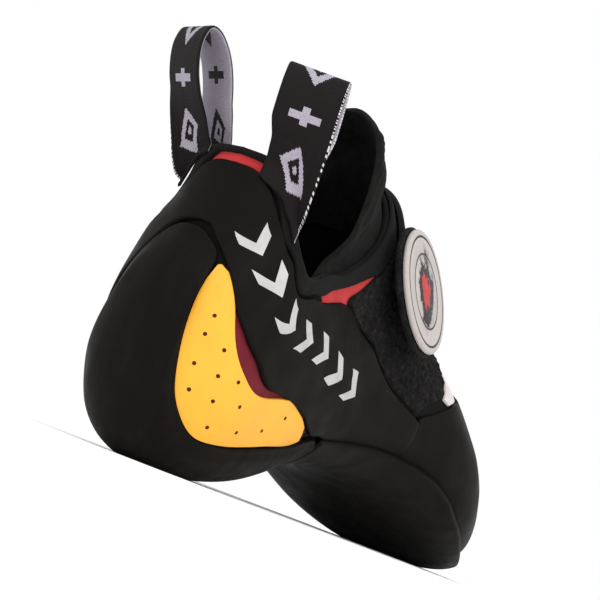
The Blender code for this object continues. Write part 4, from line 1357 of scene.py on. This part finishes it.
def zigzag():
    """A flat zigzag of white thread that holds the lateral loop's rear edge."""
    line = track(THREAD_LINE, 20)
    points, faces = [], []
    for k in range(THREAD_TURNS):
        ends = (k / THREAD_TURNS * line[0][-1], (k + 1) / THREAD_TURNS * line[0][-1])
        side = THREAD_HALF if k % 2 else -THREAD_HALF
        near, far = (ends[0], -side), (ends[1], side)
        beside = [(x + THREAD_WIDTH, y) for x, y in (near, far)]
        spot = spots(line, np.array([near, *beside, far]))
        begin = len(points)
        points.extend(laid(spot, LAYER_GAP + BINDING_THICKNESS + THREAD_LIFT))
        faces.append(tuple(range(begin, begin + 4)))
    return flat_piece("zigzag_thread", points, faces, LOOK["thread"])


# station and angle of the small holes in the lateral heel panel, and their radius
HOLES = (
    (14.57, -32.5), (14.25, -31.0), (13.80, -46.5), (13.72, -30.5), (13.29, -47.5), (12.87, -61.0),
    (13.22, -31.8), (12.79, -47.0), (12.24, -62.5), (12.27, -44.0), (11.64, -56.5), (11.04, -63.5),
    (10.70, -72.5),
)
HOLE_RADIUS = 0.00062


def panel_hole_shade():
    """Dark brown discs laid where the heel panel is pierced: painted shade of each hole's depth."""
    points, faces = [], []
    turns = np.linspace(0, 2 * math.pi, 16, endpoint=False)
    for station, angle in HOLES:
        line = track(((station - 0.2, angle), (station, angle), (station + 0.2, angle)), 5)
        middle = line[0][-1] / 2
        ring = np.stack([middle + HOLE_RADIUS * np.cos(turns), HOLE_RADIUS * np.sin(turns)], -1)
        spot = spots(line, ring)
        relief = panel_relief(form(spot[:, 0], spot[:, 1]))
        begin = len(points)
        points.extend(laid(spot, LAYER_GAP + PANEL_THICKNESS + relief + HOLE_LIFT))
        faces.append(tuple(range(begin, begin + len(turns))))
    return flat_piece("panel_hole_shade", points, faces, LOOK["hole"])


FLOOR_RADIUS = 3.0
FLOOR_TONES = (0.96, 0.98)


def stage():
    """A wide, flat, pale floor."""
    turns = np.linspace(0, 2 * math.pi, 96, endpoint=False)
    rim = [(FLOOR_RADIUS * math.cos(a), FLOOR_RADIUS * math.sin(a), 0) for a in turns]
    finish = principled("pale_floor", (FLOOR_TONES[1],) * 3, 0.8, specular=0.2)
    tones = ((0.3, (FLOOR_TONES[0],) * 3), (0.7, (FLOOR_TONES[1],) * 3))
    colour_by(finish, noise(finish, 0.4, detail=3), *tones)
    flat_piece("floor", rim, [tuple(range(len(rim)))], finish)


def area_light(name, place, target, size, power):
    lamp = bpy.data.lights.new(name, "AREA")
    lamp.shape = "DISK"
    lamp.size = size
    lamp.energy = power
    obj = add(name, lamp)
    obj.location = place
    obj.rotation_euler = (Vector(target) - Vector(place)).to_track_quat("-Z", "Y").to_euler()


def lights():
    world = bpy.data.worlds.new("studio")
    bpy.context.scene.world = world
    world.use_nodes = True
    background = world.node_tree.nodes["Background"]
    background.inputs["Color"].default_value = (1, 1, 1, 1)
    background.inputs["Strength"].default_value = 1.0
    centre = (0, 0, 0.06)
    area_light("key", (-0.75, -0.35, 1.0), centre, 0.7, 6.0)
    area_light("side", (-0.2, -1.1, 0.45), centre, 0.6, 3.0)
    bpy.context.scene.view_settings.view_transform = "Standard"


def camera():
    """At the photo's angle round the shoe and with its roll, just above the floor."""
    turn = math.radians(CAMERA_TURN)
    target = Vector(CAMERA_TARGET)
    rise = target.z - CAMERA_HEIGHT
    level = math.sqrt(CAMERA_DISTANCE**2 - rise**2)
    place = target - Vector((level * math.cos(turn), level * math.sin(turn), rise))
    lens = bpy.data.cameras.new("photo_camera")
    obj = add("photo_camera", lens)
    look = (target - place).normalized()
    right = look.cross(Vector((0, 0, 1))).normalized()
    up = right.cross(look)
    roll = math.radians(CAMERA_ROLL)
    right, up = right * math.cos(roll) + up * math.sin(roll), up * math.cos(roll) - right * math.sin(roll)
    aside = (PICTURE_WIDTH / 2 - TARGET_PIXEL[0]) / PIXELS_PER_METRE
    above = (TARGET_PIXEL[1] - PICTURE_WIDTH / 2) / PIXELS_PER_METRE
    look = (target + right * aside + up * above - place).normalized()
    right = (right - look * right.dot(look)).normalized()
    up = right.cross(look)
    obj.matrix_world = Matrix.Translation(place) @ Matrix((right, up, -look)).transposed().to_4x4()
    lens.sensor_width = SENSOR_WIDTH
    lens.lens = SENSOR_WIDTH * CAMERA_DISTANCE * PIXELS_PER_METRE / PICTURE_WIDTH
    lens.clip_start = 0.01
    bpy.context.scene.camera = obj


def dress():
    """Each piece in place of its CAD node, and then what is laid on them."""
    built = [
        upper(), board(), insole(), outsole(), heel_cup(), sling_band(),
        heel_panel("heel_panel_lateral", PANEL_LATERAL, (0.16, 0.66)),
        heel_panel("heel_panel_medial", PANEL_MEDIAL, (0.10, 0.80)),
        toe_rand(), vamp_panel(), closure_pad(), collar_binding(), tongue(), closure_strap(), *round_tab(),
    ]
    built.extend(pull_loop(*loop) for loop in LOOPS)
    built.append((band_print(), None, "pale_microfibre"))
    built.append((panel_hole_shade(), None, "yellow_rubber"))
    built.append((zigzag(), None, "pale_microfibre"))
    for piece, replaced, slot in built:
        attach(piece, "root")
        if replaced:
            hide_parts(replaced)


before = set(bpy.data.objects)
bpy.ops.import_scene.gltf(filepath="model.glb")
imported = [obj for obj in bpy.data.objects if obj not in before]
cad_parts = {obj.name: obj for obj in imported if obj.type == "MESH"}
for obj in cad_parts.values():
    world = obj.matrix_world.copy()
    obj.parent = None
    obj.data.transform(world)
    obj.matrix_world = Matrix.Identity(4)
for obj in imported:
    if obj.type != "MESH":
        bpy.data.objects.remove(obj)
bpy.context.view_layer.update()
SECTIONS = section_table()
tip = max(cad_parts["upper"].data.vertices, key=lambda v: v.co.x).co
SHIFT = np.array([tip.x - LENGTH, tip.y - FORE_SECTIONS[0][7] * BALL_WIDTH, 0.0])
LOOK = finishes()
camera()
lights()
stage()
dress()
